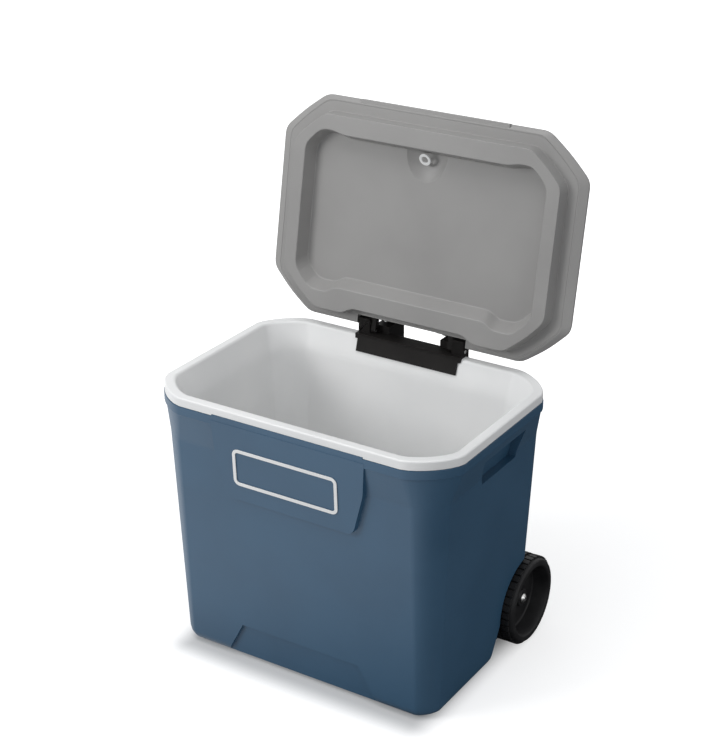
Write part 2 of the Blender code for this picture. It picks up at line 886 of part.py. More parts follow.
def arm_screw_places():
    """One screw beside each hinge arm, driven forwards into the lid."""
    y = notch_face + gap * 2 + arm_plate_thickness
    z = flange_height + lid_height / 2
    across = arm_outer - arm_width - arm_plate_half_width
    return [facing((0, 1, 0), (side * across, y, z)) for side in (-1, 1)]


def make_lid_top():
    """The lid's outer cover with its drinks holders."""
    cover = loft("lid_top", lid_cover_rings(0), grey)
    lift_low = (-lid_lift_length, lid_front - lid_lift_proud, flange_height)
    lift_high = (lid_lift_length, lid_foot_front + lid_wall, flange_height + lid_lift_height)
    join(cover, loft("tool_lid_lift", block_rings(lift_low, lift_high), tool_finish))
    hollow_rings = [lid_foot.inset(lid_wall).ring(flange_height - overrun)] + lid_cover_rings(lid_wall)
    hollow = loft("tool_lid_hollow", hollow_rings, tool_finish)
    cut(hollow, lid_notch(lid_wall, "tool_notch_wall"), *cup_tools(lid_wall))
    cut(cover, lid_notch(0, "tool_notch"), *cup_tools(0), hollow)
    cut(cover, *[screw_hole(place) for place in arm_screw_places()])
    return cover


def pan_rings(rise):
    """One side of the pan's sheet, from its outer edge to the recess floor."""
    foot = flange_height - plateau_depth + rise
    return [lid_foot.inset(lid_wall + gap).ring(flange_height + rise),
            plateau.inset(rise).ring(flange_height + rise),
            plateau.inset(plateau_draft + rise).ring(foot),
            recess.inset(-rise).ring(foot),
            recess.inset(recess_draft - rise).ring(flange_height + recess_floor + rise)]


def plateau_shoulder(side, grow):
    """Where the plateau reaches further back beside the bracket."""
    start = plateau_step_half_width - grow
    end = plateau.half_x - plateau.cut_x + grow
    inner = plateau_back - pan_wall * 2 - grow
    outer = plateau_back + plateau_step + grow
    slant = plateau_step * chamfer_share
    outline = [(start, inner), (end, inner), (end, outer - slant / 2), (end - slant, outer),
               (start + slant, outer), (start, plateau_back + grow)]
    low = flange_height - plateau_depth - grow
    rings = [[(side * x, y, z) for x, y in outline] for z in (low, flange_height + pan_wall / 2 + grow)]
    return loft("tool_plateau_shoulder", rings, tool_finish)


def recess_bump():
    """The recess's rear wall stands further in between the shoulders."""
    half = plateau_step_half_width
    slant = plateau_step * chamfer_share
    low = flange_height - plateau_depth + pan_wall / 2
    high = flange_height + recess_floor + pan_wall / 2

    def ring(height, inward):
        back = recess_back_y + pan_wall / 2 - inward
        face = back - plateau_step
        return [(-half - slant, back, height), (-half, face, height), (half, face, height),
                (half + slant, back, height)]
    return loft("tool_recess_bump", [ring(low, 0), ring(high, recess_draft)], tool_finish)


def make_lid_pan():
    """The lid's inner pan with the plateau that drops into the body."""
    pan = loft("lid_pan", pan_rings(0)[::-1] + pan_rings(pan_wall), grey)
    join(pan, plateau_shoulder(-1, 0), plateau_shoulder(1, 0), recess_bump())
    join(pan, scoop(pan_wall, "tool_scoop_wall"))
    cut(pan, scoop(0, "tool_scoop"), lid_notch(lid_wall + gap, "tool_notch_pan"))
    seat = turned_rings(((plug_seat_radius, -plug_seat_depth), (plug_seat_radius, 0)), tube_sides)
    join(pan, loft("tool_plug_seat", [placed(ring, plug_place(0)) for ring in seat], tool_finish))
    return pan


def make_lid_foam():
    """The foam between the lid's cover and pan."""
    cover = lid_cover_rings(lid_wall + foam_gap)
    cover[0] = lid_foot.inset(lid_wall + foam_gap).ring(flange_height + pan_wall + foam_gap)
    foam = loft("lid_foam", cover[::-1] + pan_rings(pan_wall + foam_gap)[1:], foam_finish)
    cut(foam, lid_notch(lid_wall + foam_gap, "tool_notch_foam"), *cup_tools(lid_wall + foam_gap))
    cut(foam, scoop(pan_wall + foam_gap, "tool_scoop_foam"))
    cut(foam, plateau_shoulder(-1, foam_gap), plateau_shoulder(1, foam_gap))
    cut(foam, *[screw_hole(place) for place in arm_screw_places()])
    return foam


def make_fill_plug():
    """The ring plug of the foam filling hole."""
    profile = tube_profile(plug_outer_radius, plug_inner_radius, 0, plug_thickness)
    rings = [placed(ring, plug_place(gap)) for ring in turned_rings(profile, tube_sides)]
    return loft("fill_plug", rings, white, closed=True)


def make_hinge_arm(side):
    """A black arm screwed to the lid's notch, with the eye for the pin and a heel
    that lands on the bracket's ledge when the lid is open."""
    outline = [(notch_face + gap, hinge_height - eye_radius)]
    for step in range(corner_steps + 1):
        turn = -quarter + lid_open_angle * step / corner_steps
        outline.append((hinge_y + eye_radius * math.cos(turn), hinge_height + eye_radius * math.sin(turn)))
    heel_turn = lid_open_angle - quarter / 2
    heel_radius = eye_radius * math.sqrt(2)
    outline.append((hinge_y + heel_radius * math.cos(heel_turn),
                    hinge_height + heel_radius * math.sin(heel_turn)))
    outline.append((hinge_y + eye_radius * math.cos(lid_open_angle),
                    hinge_height + eye_radius * math.sin(lid_open_angle)))
    outline.append((notch_face + gap, hinge_height + eye_radius))
    name = "hinge_arm_right" if side > 0 else "hinge_arm_left"
    rings = [[(side * x, y, z) for y, z in outline] for x in (arm_outer - arm_width, arm_outer)]
    arm = loft(name, rings, black)
    low_z = flange_height + lid_height / 2 - arm_plate_height / 2
    edges = sorted((side * arm_outer, side * (arm_outer - arm_width - 2 * arm_plate_half_width)))
    plate_low = (edges[0], notch_face + gap, low_z)
    plate_high = (edges[1], notch_face + gap + arm_plate_thickness, low_z + arm_plate_height)
    join(arm, loft("tool_arm_plate", block_rings(plate_low, plate_high), tool_finish))
    place = facing((side, 0, 0), (0, hinge_y, hinge_height))
    eye = turned_rings(((pin_radius + gap, 0), (pin_radius + gap, rim_half_width)), screw_sides)
    cut(arm, loft("tool_eye", [placed(ring, place) for ring in eye], tool_finish))
    cut(arm, *[screw_hole(place) for place in arm_screw_places()])
    return arm


def make_hinge_pins():
    """The two steel pins, each with a head outside the bracket."""
    parts = []
    head = bracket_half_width + gap
    for side in (-1, 1):
        place = facing((side, 0, 0), (0, hinge_y, hinge_height))
        profile = ((pin_radius, arm_outer - arm_width), (pin_radius, head), (pin_head_radius, head),
                   (pin_head_radius, head + pin_radius / 2))
        parts.append(([placed(ring, place) for ring in turned_rings(profile, screw_sides)], False))
    set_of("hinge_pin", parts, steel)


def bracket_screw_places():
    """Four screws from behind, through the bracket's back into the rim."""
    y = rim_half_depth + gap * 2 + bracket_back_thickness
    return [facing((0, 1, 0), (x, y, bracket_screw_height))
            for x in (-bracket_half_width + screw_head_radius * 2, -bracket_screw_spread_x,
                      bracket_screw_spread_x, bracket_half_width - screw_head_radius * 2)]


def make_hinge_bracket():
    """The black saddle in the rim: a skirt inside the liner, a ledge, two towers for
    the hinge pins, and two guides that hold the tops of the handle's outer tubes."""
    inner_face = rim_half_depth - rim_width - gap
    back_face = rim_half_depth + gap
    back_rear = back_face + bracket_back_thickness
    ledge_low = (-bracket_half_width, inner_face - bracket_skirt_thickness, body_height - bracket_saddle_drop)
    ledge_high = (bracket_half_width, back_rear, ledge_height)
    bracket = loft("hinge_bracket", block_rings(ledge_low, ledge_high), black)
    skirt_low = (-bracket_skirt_half_width, inner_face - bracket_skirt_thickness, bracket_skirt_foot)
    skirt_high = (bracket_skirt_half_width, inner_face, body_height - bracket_saddle_drop / 2)
    blocks = [(skirt_low, skirt_high)]
    blocks.append(((-bracket_half_width, back_face, bracket_back_foot),
                   (bracket_half_width, back_rear, body_height - bracket_saddle_drop / 2)))
    for side in (-1, 1):
        edges = sorted((side * tower_inner, side * bracket_half_width))
        blocks.append(((edges[0], hinge_y - tower_front, body_height),
                       (edges[1], hinge_y + tower_back, hinge_height + tower_height)))
        middle = side * tube_spread
        blocks.append(((middle - guide_half_width, back_rear - bracket_back_thickness / 2, bracket_back_foot),
                       (middle + guide_half_width, handle_y + outer_tube_radius + guide_wall,
                        handle_height + guide_rise)))
    for low, high in blocks:
        join(bracket, loft("tool_bracket_block", block_rings(low, high), tool_finish))
    for side in (-1, 1):
        reach = outer_tube_length / 2
        radius = outer_tube_radius + gap
        ring_pair = turned_rings(((radius, -reach), (radius, reach)), tube_sides)
        place = handle_place(side=side)
        cut(bracket, loft("tool_guide_bore", [placed(ring, place) for ring in ring_pair], tool_finish))
        place = facing((side, 0, 0), (0, hinge_y, hinge_height))
        bore = turned_rings(((pin_radius + gap, 0), (pin_radius + gap, rim_half_width)), screw_sides)
        cut(bracket, loft("tool_pin_bore", [placed(ring, place) for ring in bore], tool_finish))
    cut(bracket, *[screw_hole(place) for place in bracket_screw_places()])
    return bracket


def handle_pair(name, rings, finish, closed=True):
    """The same turned solid on each tube, in the handle's frame."""
    parts = []
    for side in (-1, 1):
        place = Matrix.Translation((side * tube_spread, 0, 0))
        parts.append(([placed(ring, place) for ring in rings], closed))
    set_of(name, parts, finish)


def make_handle_tube(name, side, radius, low, high, finish):
    """One tube of the handle, in the handle's frame."""
    place = Matrix.Translation((side * tube_spread, 0, 0))
    rings = turned_rings(tube_profile(radius, radius - tube_wall, low, high), tube_sides)
    return loft(name, [placed(ring, place) for ring in rings], finish, closed=True)


def collar_rings(outer_radius, sliding_radius, top):
    """A bush in a tube's mouth that the next tube slides in."""
    inner = sliding_radius + gap
    fit = outer_radius - tube_wall - gap
    profile = ((inner, top - collar_depth), (inner, top + gap + collar_height),
               (outer_radius, top + gap + collar_height), (outer_radius, top + gap), (fit, top + gap),
               (fit, top - collar_depth))
    return turned_rings(profile, tube_sides)


def foot_rings(tube_radius, bore_radius, low):
    """A plug in a tube's lower end, with a shoulder that runs in the next tube."""
    fit = tube_radius - tube_wall - gap
    profile = ((bore_radius, low - gap - collar_height), (bore_radius, low - gap), (fit, low - gap),
               (fit, low + collar_depth / 2))
    return turned_rings(profile, tube_sides)


middle_top = gap * 2 + collar_height
middle_foot = -outer_tube_length + collar_height + gap * 2
grip_low = middle_top + gap * 3 + collar_height
inner_top = grip_low + grip_socket_depth
inner_foot = middle_foot + collar_depth / 2 + collar_height + gap * 2


def make_pull_grip():
    """The cross grip on the two inner tubes."""
    half_x = tube_spread + grip_end
    low = (-half_x, -grip_half_depth, grip_low)
    high = (half_x, grip_half_depth, grip_low + grip_height)
    grip = loft("pull_grip", block_rings(low, high), black)
    bevelled(grip, grip_half_depth / 2, 3)
    for side in (-1, 1):
        socket = turned_rings(((inner_tube_radius + gap, grip_low - overrun),
                               (inner_tube_radius + gap, inner_top + gap)), tube_sides)
        place = Matrix.Translation((side * tube_spread, 0, 0))
        cut(grip, loft("tool_socket", [placed(ring, place) for ring in socket], tool_finish))
    cut(grip, *[screw_hole(place, grip_screw_length) for place in grip_screw_places()])
    return grip


grip_screw_length = grip_half_depth - inner_tube_radius - gap


def grip_screw_places():
    """A screw behind each tube, against its wall."""
    height = grip_low + grip_socket_depth / 2
    return [facing((0, 1, 0), (side * tube_spread, grip_half_depth + gap, height)) for side in (-1, 1)]


def make_handle():
    """The pieces that slide, in the handle's frame."""
    for side, word in ((-1, "left"), (1, "right")):
        make_handle_tube("outer_tube_" + word, side, outer_tube_radius, -outer_tube_length, 0, steel_dark)
        make_handle_tube("middle_tube_" + word, side, middle_tube_radius, middle_foot, middle_top, steel)
        make_handle_tube("inner_tube_" + word, side, inner_tube_radius, inner_foot, inner_top, steel)
    handle_pair("outer_bush", collar_rings(outer_tube_radius, middle_tube_radius, 0), black)
    handle_pair("middle_bush", collar_rings(middle_tube_radius, inner_tube_radius, middle_top), black)
    bore = outer_tube_radius - tube_wall - running
    handle_pair("middle_foot", foot_rings(middle_tube_radius, bore, middle_foot), black, closed=False)
    bore = middle_tube_radius - tube_wall - running
    handle_pair("inner_foot", foot_rings(inner_tube_radius, bore, inner_foot), black, closed=False)
    make_pull_grip()
    set_of("grip_screw", [screw(place, grip_screw_length) for place in grip_screw_places()], steel)


def clamp_rear():
    """The rear face of the tube clamp."""
    middle = clamp_foot + clamp_height
    tube_middle = handle_y - (handle_height - middle) * math.tan(handle_rake)
    return tube_middle + outer_tube_radius / math.cos(handle_rake) + guide_wall


def clamp_screw_places():
    """The clamp's screws, between and beside the tubes."""
    height = clamp_foot + clamp_height / 2
    return [facing((0, 1, 0), (x, clamp_rear() + gap, height)) for x in (-clamp_screw_x, clamp_screw_x)]


def make_tube_clamp():
    """The black clamp that holds the feet of the outer tubes to the back."""
    low = (-clamp_half_width, clamp_seat_y() + gap, clamp_foot)
    high = (clamp_half_width, clamp_rear(), clamp_foot + clamp_height)
    clamp = loft("tube_clamp", block_rings(low, high), black)
    for side in (-1, 1):
        reach = outer_tube_length + overrun
        rings = turned_rings(((outer_tube_radius + gap, -reach), (outer_tube_radius + gap, 0)), tube_sides)
        place = handle_place(side=side)
        cut(clamp, loft("tool_clamp_bore", [placed(ring, place) for ring in rings], tool_finish))
    cut(clamp, *[screw_hole(place, clamp_screw_length()) for place in clamp_screw_places()])
    return clamp


def clamp_screw_length():
    """From the clamp's rear face into the shell."""
    return clamp_rear() - clamp_seat_y() + screw_shank_length / 2


def keeper_screw_places():
    """Two screws in each keeper's flange."""
    y = keeper_seat_y() + gap * 2 + keeper_flange_thickness
    return [facing((0, 1, 0), (side * keeper_middle_x + offset, y, axle_height))
            for side in (-1, 1) for offset in (-keeper_screw_spread, keeper_screw_spread)]


def make_axle_keeper(side):
    """A black keeper that closes the axle's slot."""
    name = "axle_keeper_right" if side > 0 else "axle_keeper_left"
    middle = side * keeper_middle_x
    flange_low = (middle - keeper_flange_half_width, keeper_seat_y() + gap,
                  axle_height - keeper_flange_half_height)
    flange_high = (middle + keeper_flange_half_width, keeper_seat_y() + gap + keeper_flange_thickness,
                   axle_height + keeper_flange_half_height)
    keeper = loft(name, block_rings(flange_low, flange_high), black)
    half_height = slot_half_height - gap
    tongue_low = (middle - keeper_half_width, axle_y + axle_radius + gap, axle_height - half_height)
    tongue_high = (middle + keeper_half_width, keeper_seat_y() + keeper_flange_thickness / 2,
                   axle_height + half_height)
    join(keeper, loft("tool_keeper_tongue", block_rings(tongue_low, tongue_high), tool_finish))
    cut(keeper, *[screw_hole(place) for place in keeper_screw_places()])
    return keeper


def make_axle():
    """The steel rod that both wheels turn on."""
    reach = wheel_face - hub_recess + nut_thickness + gap * 4
    rings = turned_rings(((axle_radius, -reach), (axle_radius, reach)), tube_sides)
    place = facing((1, 0, 0), (0, axle_y, axle_height))
    return loft("axle", [placed(ring, place) for ring in rings], steel)


def wheel_profile():
    """Half the wheel's section: radius, and depth from its outer face."""
    base = wheel_radius - tread_depth
    bore = axle_radius + running
    hub_reach = wheel_width + well_side_clearance - washer_thickness - gap * 2
    web = dish_depth + disc_thickness
    return ((bore, -hub_recess), (hub_radius, -hub_recess), (hub_radius, -dish_depth),
            (dish_radius - tread_depth, -dish_depth), (dish_radius, -shoulder), (dish_radius + lug_gap, 0),
            (base - shoulder / 2, 0), (base, -shoulder), (base, -wheel_width / 2),
            (base, -wheel_width + shoulder), (base - shoulder / 2, -wheel_width),
            (dish_radius, -wheel_width), (dish_radius - tread_depth, -web), (hub_radius, -web),
            (hub_radius, -hub_reach), (bore, -hub_reach))


def make_wheel(side):
    """A moulded wheel: a deep dish, a hub and two rows of tread lugs."""
    name = "wheel_right" if side > 0 else "wheel_left"
    builder = bmesh.new()
    lay_loft(builder, turned_rings(wheel_profile(), tread_lugs), closed=True)
    bmesh.ops.recalc_face_normals(builder, faces=builder.faces)
    base = wheel_radius - tread_depth
    treads = []
    for face in builder.faces:
        middle = face.calc_center_median()
        if math.hypot(middle.x, middle.y) > base * math.cos(math.pi / tread_lugs) - gap:
            if -wheel_width + shoulder < middle.z < -shoulder:
                treads.append(face)
    bmesh.ops.inset_individual(builder, faces=treads, thickness=lug_gap)
    raised = bmesh.ops.extrude_discrete_faces(builder, faces=treads)["faces"]
    for face in raised:
        outward = face.normal.copy()
        bmesh.ops.translate(builder, verts=face.verts, vec=outward * tread_depth)
    wheel = add_object(name, builder, black, smooth_angle=25)
    start = math.pi / tread_lugs
    wheel.matrix_world = facing((side, 0, 0), (side * wheel_face, axle_y, axle_height)) @ \
        Matrix.Rotation(start, 4, "Z")
    return wheel


def make_axle_washers():
    """A washer between each wheel's hub and the body."""
    parts = []
    inner = wheel_face - wheel_width - well_side_clearance + gap
    for side in (-1, 1):
        place = facing((side, 0, 0), (0, axle_y, axle_height))
        profile = tube_profile(washer_radius, axle_radius + gap, inner, inner + washer_thickness)
        parts.append(([placed(ring, place) for ring in turned_rings(profile, tube_sides)], True))
    set_of("axle_washer", parts, steel)


def make_push_nut(side):
    """The bright nut pushed on the axle's end."""
    name = "push_nut_right" if side > 0 else "push_nut_left"
    face = wheel_face - hub_recess + gap * 2
    profile = ((nut_radius, 0), (nut_radius, nut_thickness / 3), (axle_radius + lug_gap, nut_thickness),
               (axle_radius + gap, nut_thickness), (axle_radius + gap, 0))
    place = facing((side, 0, 0), (side * face, axle_y, axle_height))
    return loft(name, [placed(ring, place) for ring in turned_rings(profile, tube_sides)], steel, closed=True)


def drain_place():
    """The drain's own frame: Z out of the left side, from the seat's flat."""
    return facing((-1, 0, 0), (drain_seat_x(), drain_y, drain_height))


flange_top = drain_gasket_thickness + gap * 2 + drain_flange_thickness
spout_top = flange_top + drain_spout_length


def drain_ring(name, profile, finish, sides=tube_sides):
    """A turned ring in the drain's frame."""
    rings = [placed(ring, drain_place()) for ring in turned_rings(profile, sides)]
    return loft(name, rings, finish, closed=True)


def make_drain():
    """The outlet through both walls: fitting, gasket and nut."""
    inner_end = drain_inner_x() - drain_seat_x() + drain_nut_thickness + gap * 3
    flange_low = drain_gasket_thickness + gap * 2
    fitting = drain_ring("drain_fitting", (
        (drain_tube_radius, -inner_end), (drain_tube_radius, flange_low), (drain_flange_radius, flange_low),
        (drain_flange_radius, flange_top), (drain_spout_radius, flange_top),
        (drain_spout_radius, spout_top), (drain_bore, spout_top), (drain_bore, -inner_end)), white)
    post = turned_rings(((post_radius, flange_low + gap), (post_radius, flange_top + post_length),
                         (post_head_radius, flange_top + post_length),
                         (post_head_radius, flange_top + post_length + post_head_height)), screw_sides)
    post_place = drain_place() @ Matrix.Translation((post_offset, 0, 0))
    post_solid = loft("tool_post", [placed(ring, post_place) for ring in post], tool_finish)
    tab = turned_rings(((post_radius * 2, flange_low), (post_radius * 2, flange_top)), screw_sides)
    tab_solid = loft("tool_post_tab", [placed(ring, post_place) for ring in tab], tool_finish)
    reach = drain_spout_radius + (drain_flange_radius - drain_spout_radius) / 2
    bridge = block_rings((reach, -post_radius * 2, flange_low), (post_offset, post_radius * 2, flange_top))
    bridge_solid = loft("tool_post_bridge", [placed(ring, drain_place()) for ring in bridge], tool_finish)
    join(fitting, bridge_solid, tab_solid, post_solid)
    drain_ring("drain_gasket", tube_profile(drain_flange_radius - gap, drain_tube_radius + gap, gap,
                                            gap + drain_gasket_thickness), rubber)
    nut_low = -(drain_inner_x() - drain_seat_x()) - gap - drain_nut_thickness
    nut_high = nut_low + drain_nut_thickness
    nut_rings = [hexagon(drain_nut_radius, nut_low, tube_sides),
                 hexagon(drain_nut_radius, nut_high, tube_sides),
                 circle(drain_tube_radius + gap, nut_high, tube_sides),
                 circle(drain_tube_radius + gap, nut_low, tube_sides)]
    loft("drain_nut", [placed(ring, drain_place()) for ring in nut_rings], white, closed=True)


def make_tether():
    """The strap: a ring round the cap's neck, and an eye that slides on the post."""
    low = flange_top + gap
    profile = tube_profile(drain_neck_radius + running + tether_width, drain_neck_radius + running, low,
                           low + tether_thickness)
    tether = drain_ring("drain_tether", profile, rubber, sides=2 * tube_sides)
    eye_place = drain_place() @ Matrix.Translation((post_offset, 0, 0))
    eye = turned_rings(((post_radius * 2, low), (post_radius * 2, low + tether_thickness)), screw_sides)
    arm = block_rings((drain_neck_radius + running + tether_width / 2, -post_radius, low),
                      (post_offset, post_radius, low + tether_thickness))
    join(tether, loft("tool_tether_eye", [placed(ring, eye_place) for ring in eye], tool_finish),
         loft("tool_tether_arm", [placed(ring, drain_place()) for ring in arm], tool_finish))
    hole = turned_rings(((post_radius + running, low - post_radius),
                         (post_radius + running, low + post_radius * 2)), screw_sides)
    cut(tether, loft("tool_tether_hole", [placed(ring, eye_place) for ring in hole], tool_finish))


def make_drain_cap():
    """The cap over the spout: a neck for the tether, then a fluted grip."""
    base = flange_top + gap
    neck_top = base + tether_thickness + running
    inner = drain_spout_radius + running
    profile = ((inner, spout_top + gap), (inner, base), (drain_neck_radius, base),
               (drain_neck_radius, neck_top), (drain_cap_radius, neck_top),
               (drain_cap_radius, spout_top + gap),
               (drain_cap_radius - drain_cap_top / 2, spout_top + drain_cap_top))
    rings = turned_rings(profile, 2 * tube_sides)
    cap = loft("drain_cap", [placed(ring, drain_place()) for ring in rings], white)
    for flute in range(drain_cap_flutes):
        turn = full_turn * flute / drain_cap_flutes
        place = drain_place() @ Matrix.Rotation(turn, 4, "Z") @ Matrix.Translation((drain_cap_radius, 0, 0))
        groove = turned_rings(((lug_gap, neck_top + running), (lug_gap, spout_top + overrun)), screw_sides)
        cut(cap, loft("tool_flute", [placed(ring, place) for ring in groove], tool_finish))


def make_drain_closure():
    """The pieces that screw off the drain: the tether slides out and the cap turns in it."""
    make_tether()
    make_drain_cap()


def make_screws():
    """The fasteners of the body."""
    set_of("bracket_screw", [screw(place) for place in bracket_screw_places()], steel)
    set_of("clamp_screw", [screw(place, clamp_screw_length()) for place in clamp_screw_places()], steel)
    set_of("keeper_screw", [screw(place) for place in keeper_screw_places()], steel)


def under_empty(name, place, build, modelled_in):
    """Builds pieces and hangs all of them on an empty on their joint's axis, given the
    place that they were modelled round."""
    before = set(bpy.data.objects)
    build()
    pieces = [piece for piece in bpy.data.objects if piece not in before]
    empty = bpy.data.objects.new(name, None)
    bpy.context.collection.objects.link(empty)
    empty.matrix_world = place
    for piece in pieces:
        piece.parent = empty
        piece.matrix_parent_inverse = modelled_in.inverted()


def make_lid():
    """All the pieces that swing with the lid, modelled closed."""
    make_lid_top()
    make_lid_pan()
    make_lid_foam()
    make_fill_plug()
    make_hinge_arm(-1)
    make_hinge_arm(1)
    set_of("arm_screw", [screw(place) for place in arm_screw_places()], steel)


def drill_for_screws(*walls):
    """Cuts the holes for the screws that enter the body."""
    for wall in walls:
        cut(wall, *[screw_hole(place) for place in bracket_screw_places() + keeper_screw_places()])
        cut(wall, *[screw_hole(place, clamp_screw_length()) for place in clamp_screw_places()])


blue = material("blue_plastic", (0.065, 0.115, 0.175), 0.45)
white = material("white_plastic", (0.75, 0.75, 0.74), 0.4)
grey = material("grey_plastic", (0.27, 0.265, 0.255), 0.5)
black = material("black_plastic", (0.012, 0.012, 0.013), 0.5)
rubber = material("rubber", (0.02, 0.02, 0.02), 0.7)
steel = material("steel", (0.6, 0.6, 0.6), 0.3, 1.0)
steel_dark = material("painted_steel", (0.02, 0.02, 0.02), 0.4, 0.2)
foam_finish = material("foam", (0.8, 0.7, 0.45), 0.9)
tool_finish = material("tool", (0.8, 0.1, 0.1), 0.9)

outer_shell = make_outer_shell()
inner_liner = make_inner_liner()
foam_core = make_foam_core()
drill_for_screws(outer_shell, foam_core)
cut(inner_liner, *[screw_hole(place) for place in bracket_screw_places()])
make_badge_frame()
make_hinge_bracket()
make_hinge_pins()
make_tube_clamp()
make_axle_keeper(-1)
make_axle_keeper(1)
make_axle()
make_axle_washers()
make_wheel(-1)
make_wheel(1)
make_push_nut(-1)
make_push_nut(1)
make_drain()
make_screws()
hinge_place = Matrix.Translation((0, hinge_y, hinge_height))
opened = hinge_place @ Matrix.Rotation(-lid_open_angle, 4, "X")
under_empty("lid_axis", opened, make_lid, hinge_place)
under_empty("handle_axis", handle_place(), make_handle, Matrix.Identity(4))
under_empty("drain_axis", drain_place(), make_drain_closure, drain_place())
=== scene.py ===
import math

import bmesh
import bpy
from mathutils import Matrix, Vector


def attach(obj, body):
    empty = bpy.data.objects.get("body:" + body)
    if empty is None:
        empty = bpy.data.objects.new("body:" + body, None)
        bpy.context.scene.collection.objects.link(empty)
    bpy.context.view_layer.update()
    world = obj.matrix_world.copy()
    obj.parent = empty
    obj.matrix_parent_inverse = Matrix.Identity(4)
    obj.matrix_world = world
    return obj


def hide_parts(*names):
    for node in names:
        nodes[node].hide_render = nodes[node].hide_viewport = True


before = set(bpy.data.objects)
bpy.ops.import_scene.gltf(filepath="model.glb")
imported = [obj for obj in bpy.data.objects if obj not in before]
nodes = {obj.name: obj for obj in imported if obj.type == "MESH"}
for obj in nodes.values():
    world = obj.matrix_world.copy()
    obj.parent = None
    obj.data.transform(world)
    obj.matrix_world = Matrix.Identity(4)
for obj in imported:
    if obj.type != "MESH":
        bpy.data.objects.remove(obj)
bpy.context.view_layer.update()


# The studio. One camera stands where the photograph was taken, and soft lamps hang over a
# pale floor and backdrop. The floor shows white to the camera and keeps the cooler's shadow;
# its glow is turned down round the cooler's foot as a painted contact shadow, and to glossy
# rays it glows on the front-left as a painted bright reflection and turns dark on the
# right-rear as painted shade.

class Wire:
    """A node's output that takes part in sums, so that shader maths reads as Python."""

    def __init__(self, finish, socket):
        self.finish = finish
        self.socket = socket

    def sum(self, operation, *others):
        return self.finish.node("ShaderNodeMath", {"operation": operation}, dict(enumerate(others)))

    def __add__(self, other):
        return self.sum("ADD", self, other)

    def __sub__(self, other):
        return self.sum("SUBTRACT", self, other)

    def __rsub__(self, other):
        return self.sum("SUBTRACT", other, self)

    def __mul__(self, other):
        return self.sum("MULTIPLY", self, other)

    __radd__ = __add__
    __rmul__ = __mul__

    def between(self, low, high):
        """The signal stretched softly so that low gives 0 and high gives 1."""
        inputs = {"Value": self, "From Min": low, "From Max": high}
        return self.finish.node("ShaderNodeMapRange", {"interpolation_type": "SMOOTHSTEP"}, inputs)


class Finish:
    """A material with the name of its slot, which nothing here uses, the values of its shader, and methods
    that add nodes.
    """

    def __init__(self, name, slot="", **values):
        self.slot = slot
        self.material = bpy.data.materials.new(name)
        self.material.use_nodes = True
        self.tree = self.material.node_tree
        self.shader = self.tree.nodes["Principled BSDF"]
        for word, value in values.items():
            socket = self.shader.inputs[word.replace("_", " ").title()]
            socket.default_value = (*value, 1) if word == "base_color" else value

    def node(self, kind, settings, inputs, output=0):
        """Adds a node with its settings, and links or sets its inputs."""
        made = self.tree.nodes.new(kind)
        for word, value in settings.items():
            setattr(made, word, value)
        for word, value in inputs.items():
            self.feed(made.inputs[word], value)
        return Wire(self, made.outputs[output])

    def feed(self, socket, value):
        """Links or sets one socket."""
        if isinstance(value, Wire):
            self.tree.links.new(value.socket, socket)
        elif isinstance(value, tuple) and len(value) == 3 and socket.type == "RGBA":
            socket.default_value = (*value, 1)
        else:
            socket.default_value = value

    def place(self):
        """Object coordinates."""
        return self.node("ShaderNodeTexCoord", {}, {}, "Object")

    def noise(self, scale, detail):
        """Soft noise from 0 to 1."""
        return self.node("ShaderNodeTexNoise", {}, {"Vector": self.place(), "Scale": scale, "Detail": detail})

    def vector(self, operation, *values, output=0):
        """Vector maths."""
        return self.node("ShaderNodeVectorMath", {"operation": operation}, dict(enumerate(values)), output)

    def mix(self, factor, first, second):
        """A colour between two colours."""
        return self.node("ShaderNodeMix", {"data_type": "RGBA"}, {0: factor, 6: first, 7: second}, 2)

    def dapple(self, share, first, second):
        """Lets the colour run between two colours."""
        self.feed(self.shader.inputs["Base Color"], self.mix(share, first, second))

    def sheen(self, roughness):
        """Lets the roughness follow a pattern."""
        self.feed(self.shader.inputs["Roughness"], roughness)

    def bump(self, height, distance):
        """Feeds a height in units of the distance to the shader's normal."""
        inputs = {"Height": height, "Distance": distance, "Strength": 1.0}
        self.feed(self.shader.inputs["Normal"], self.node("ShaderNodeBump", {}, inputs))


bpy.ops.object.select_all(action="DESELECT")
bpy.context.scene.view_settings.view_transform = "Standard"

bpy.ops.object.camera_add(location=(1.40798, -2.22264, 1.69887),
                          rotation=(math.radians(65.67), 0, math.radians(32.17)))
camera = bpy.context.object
camera.data.lens = 85.26
camera.data.sensor_width = 36
bpy.context.scene.camera = camera


def lamp(name, place, target, size, power):
    """A square soft lamp that faces a point."""
    bpy.ops.object.light_add(type="AREA", location=place)
    light = bpy.context.object
    light.name = name
    light.data.shape = "SQUARE"
    light.data.size = size
    light.data.energy = power
    light.rotation_euler = (Vector(target) - Vector(place)).to_track_quat("-Z", "Y").to_euler()
    light.visible_camera = False


lamp("lamp_front_left", (-2.2, -2.7, 2.1), (0, 0, 0.35), 1.4, 61)
lamp("lamp_top", (-0.3, -0.5, 3.2), (0, 0, 0.3), 1.8, 36)
lamp("lamp_right", (3.2, -0.9, 1.6), (0, 0, 0.3), 1.6, 15)

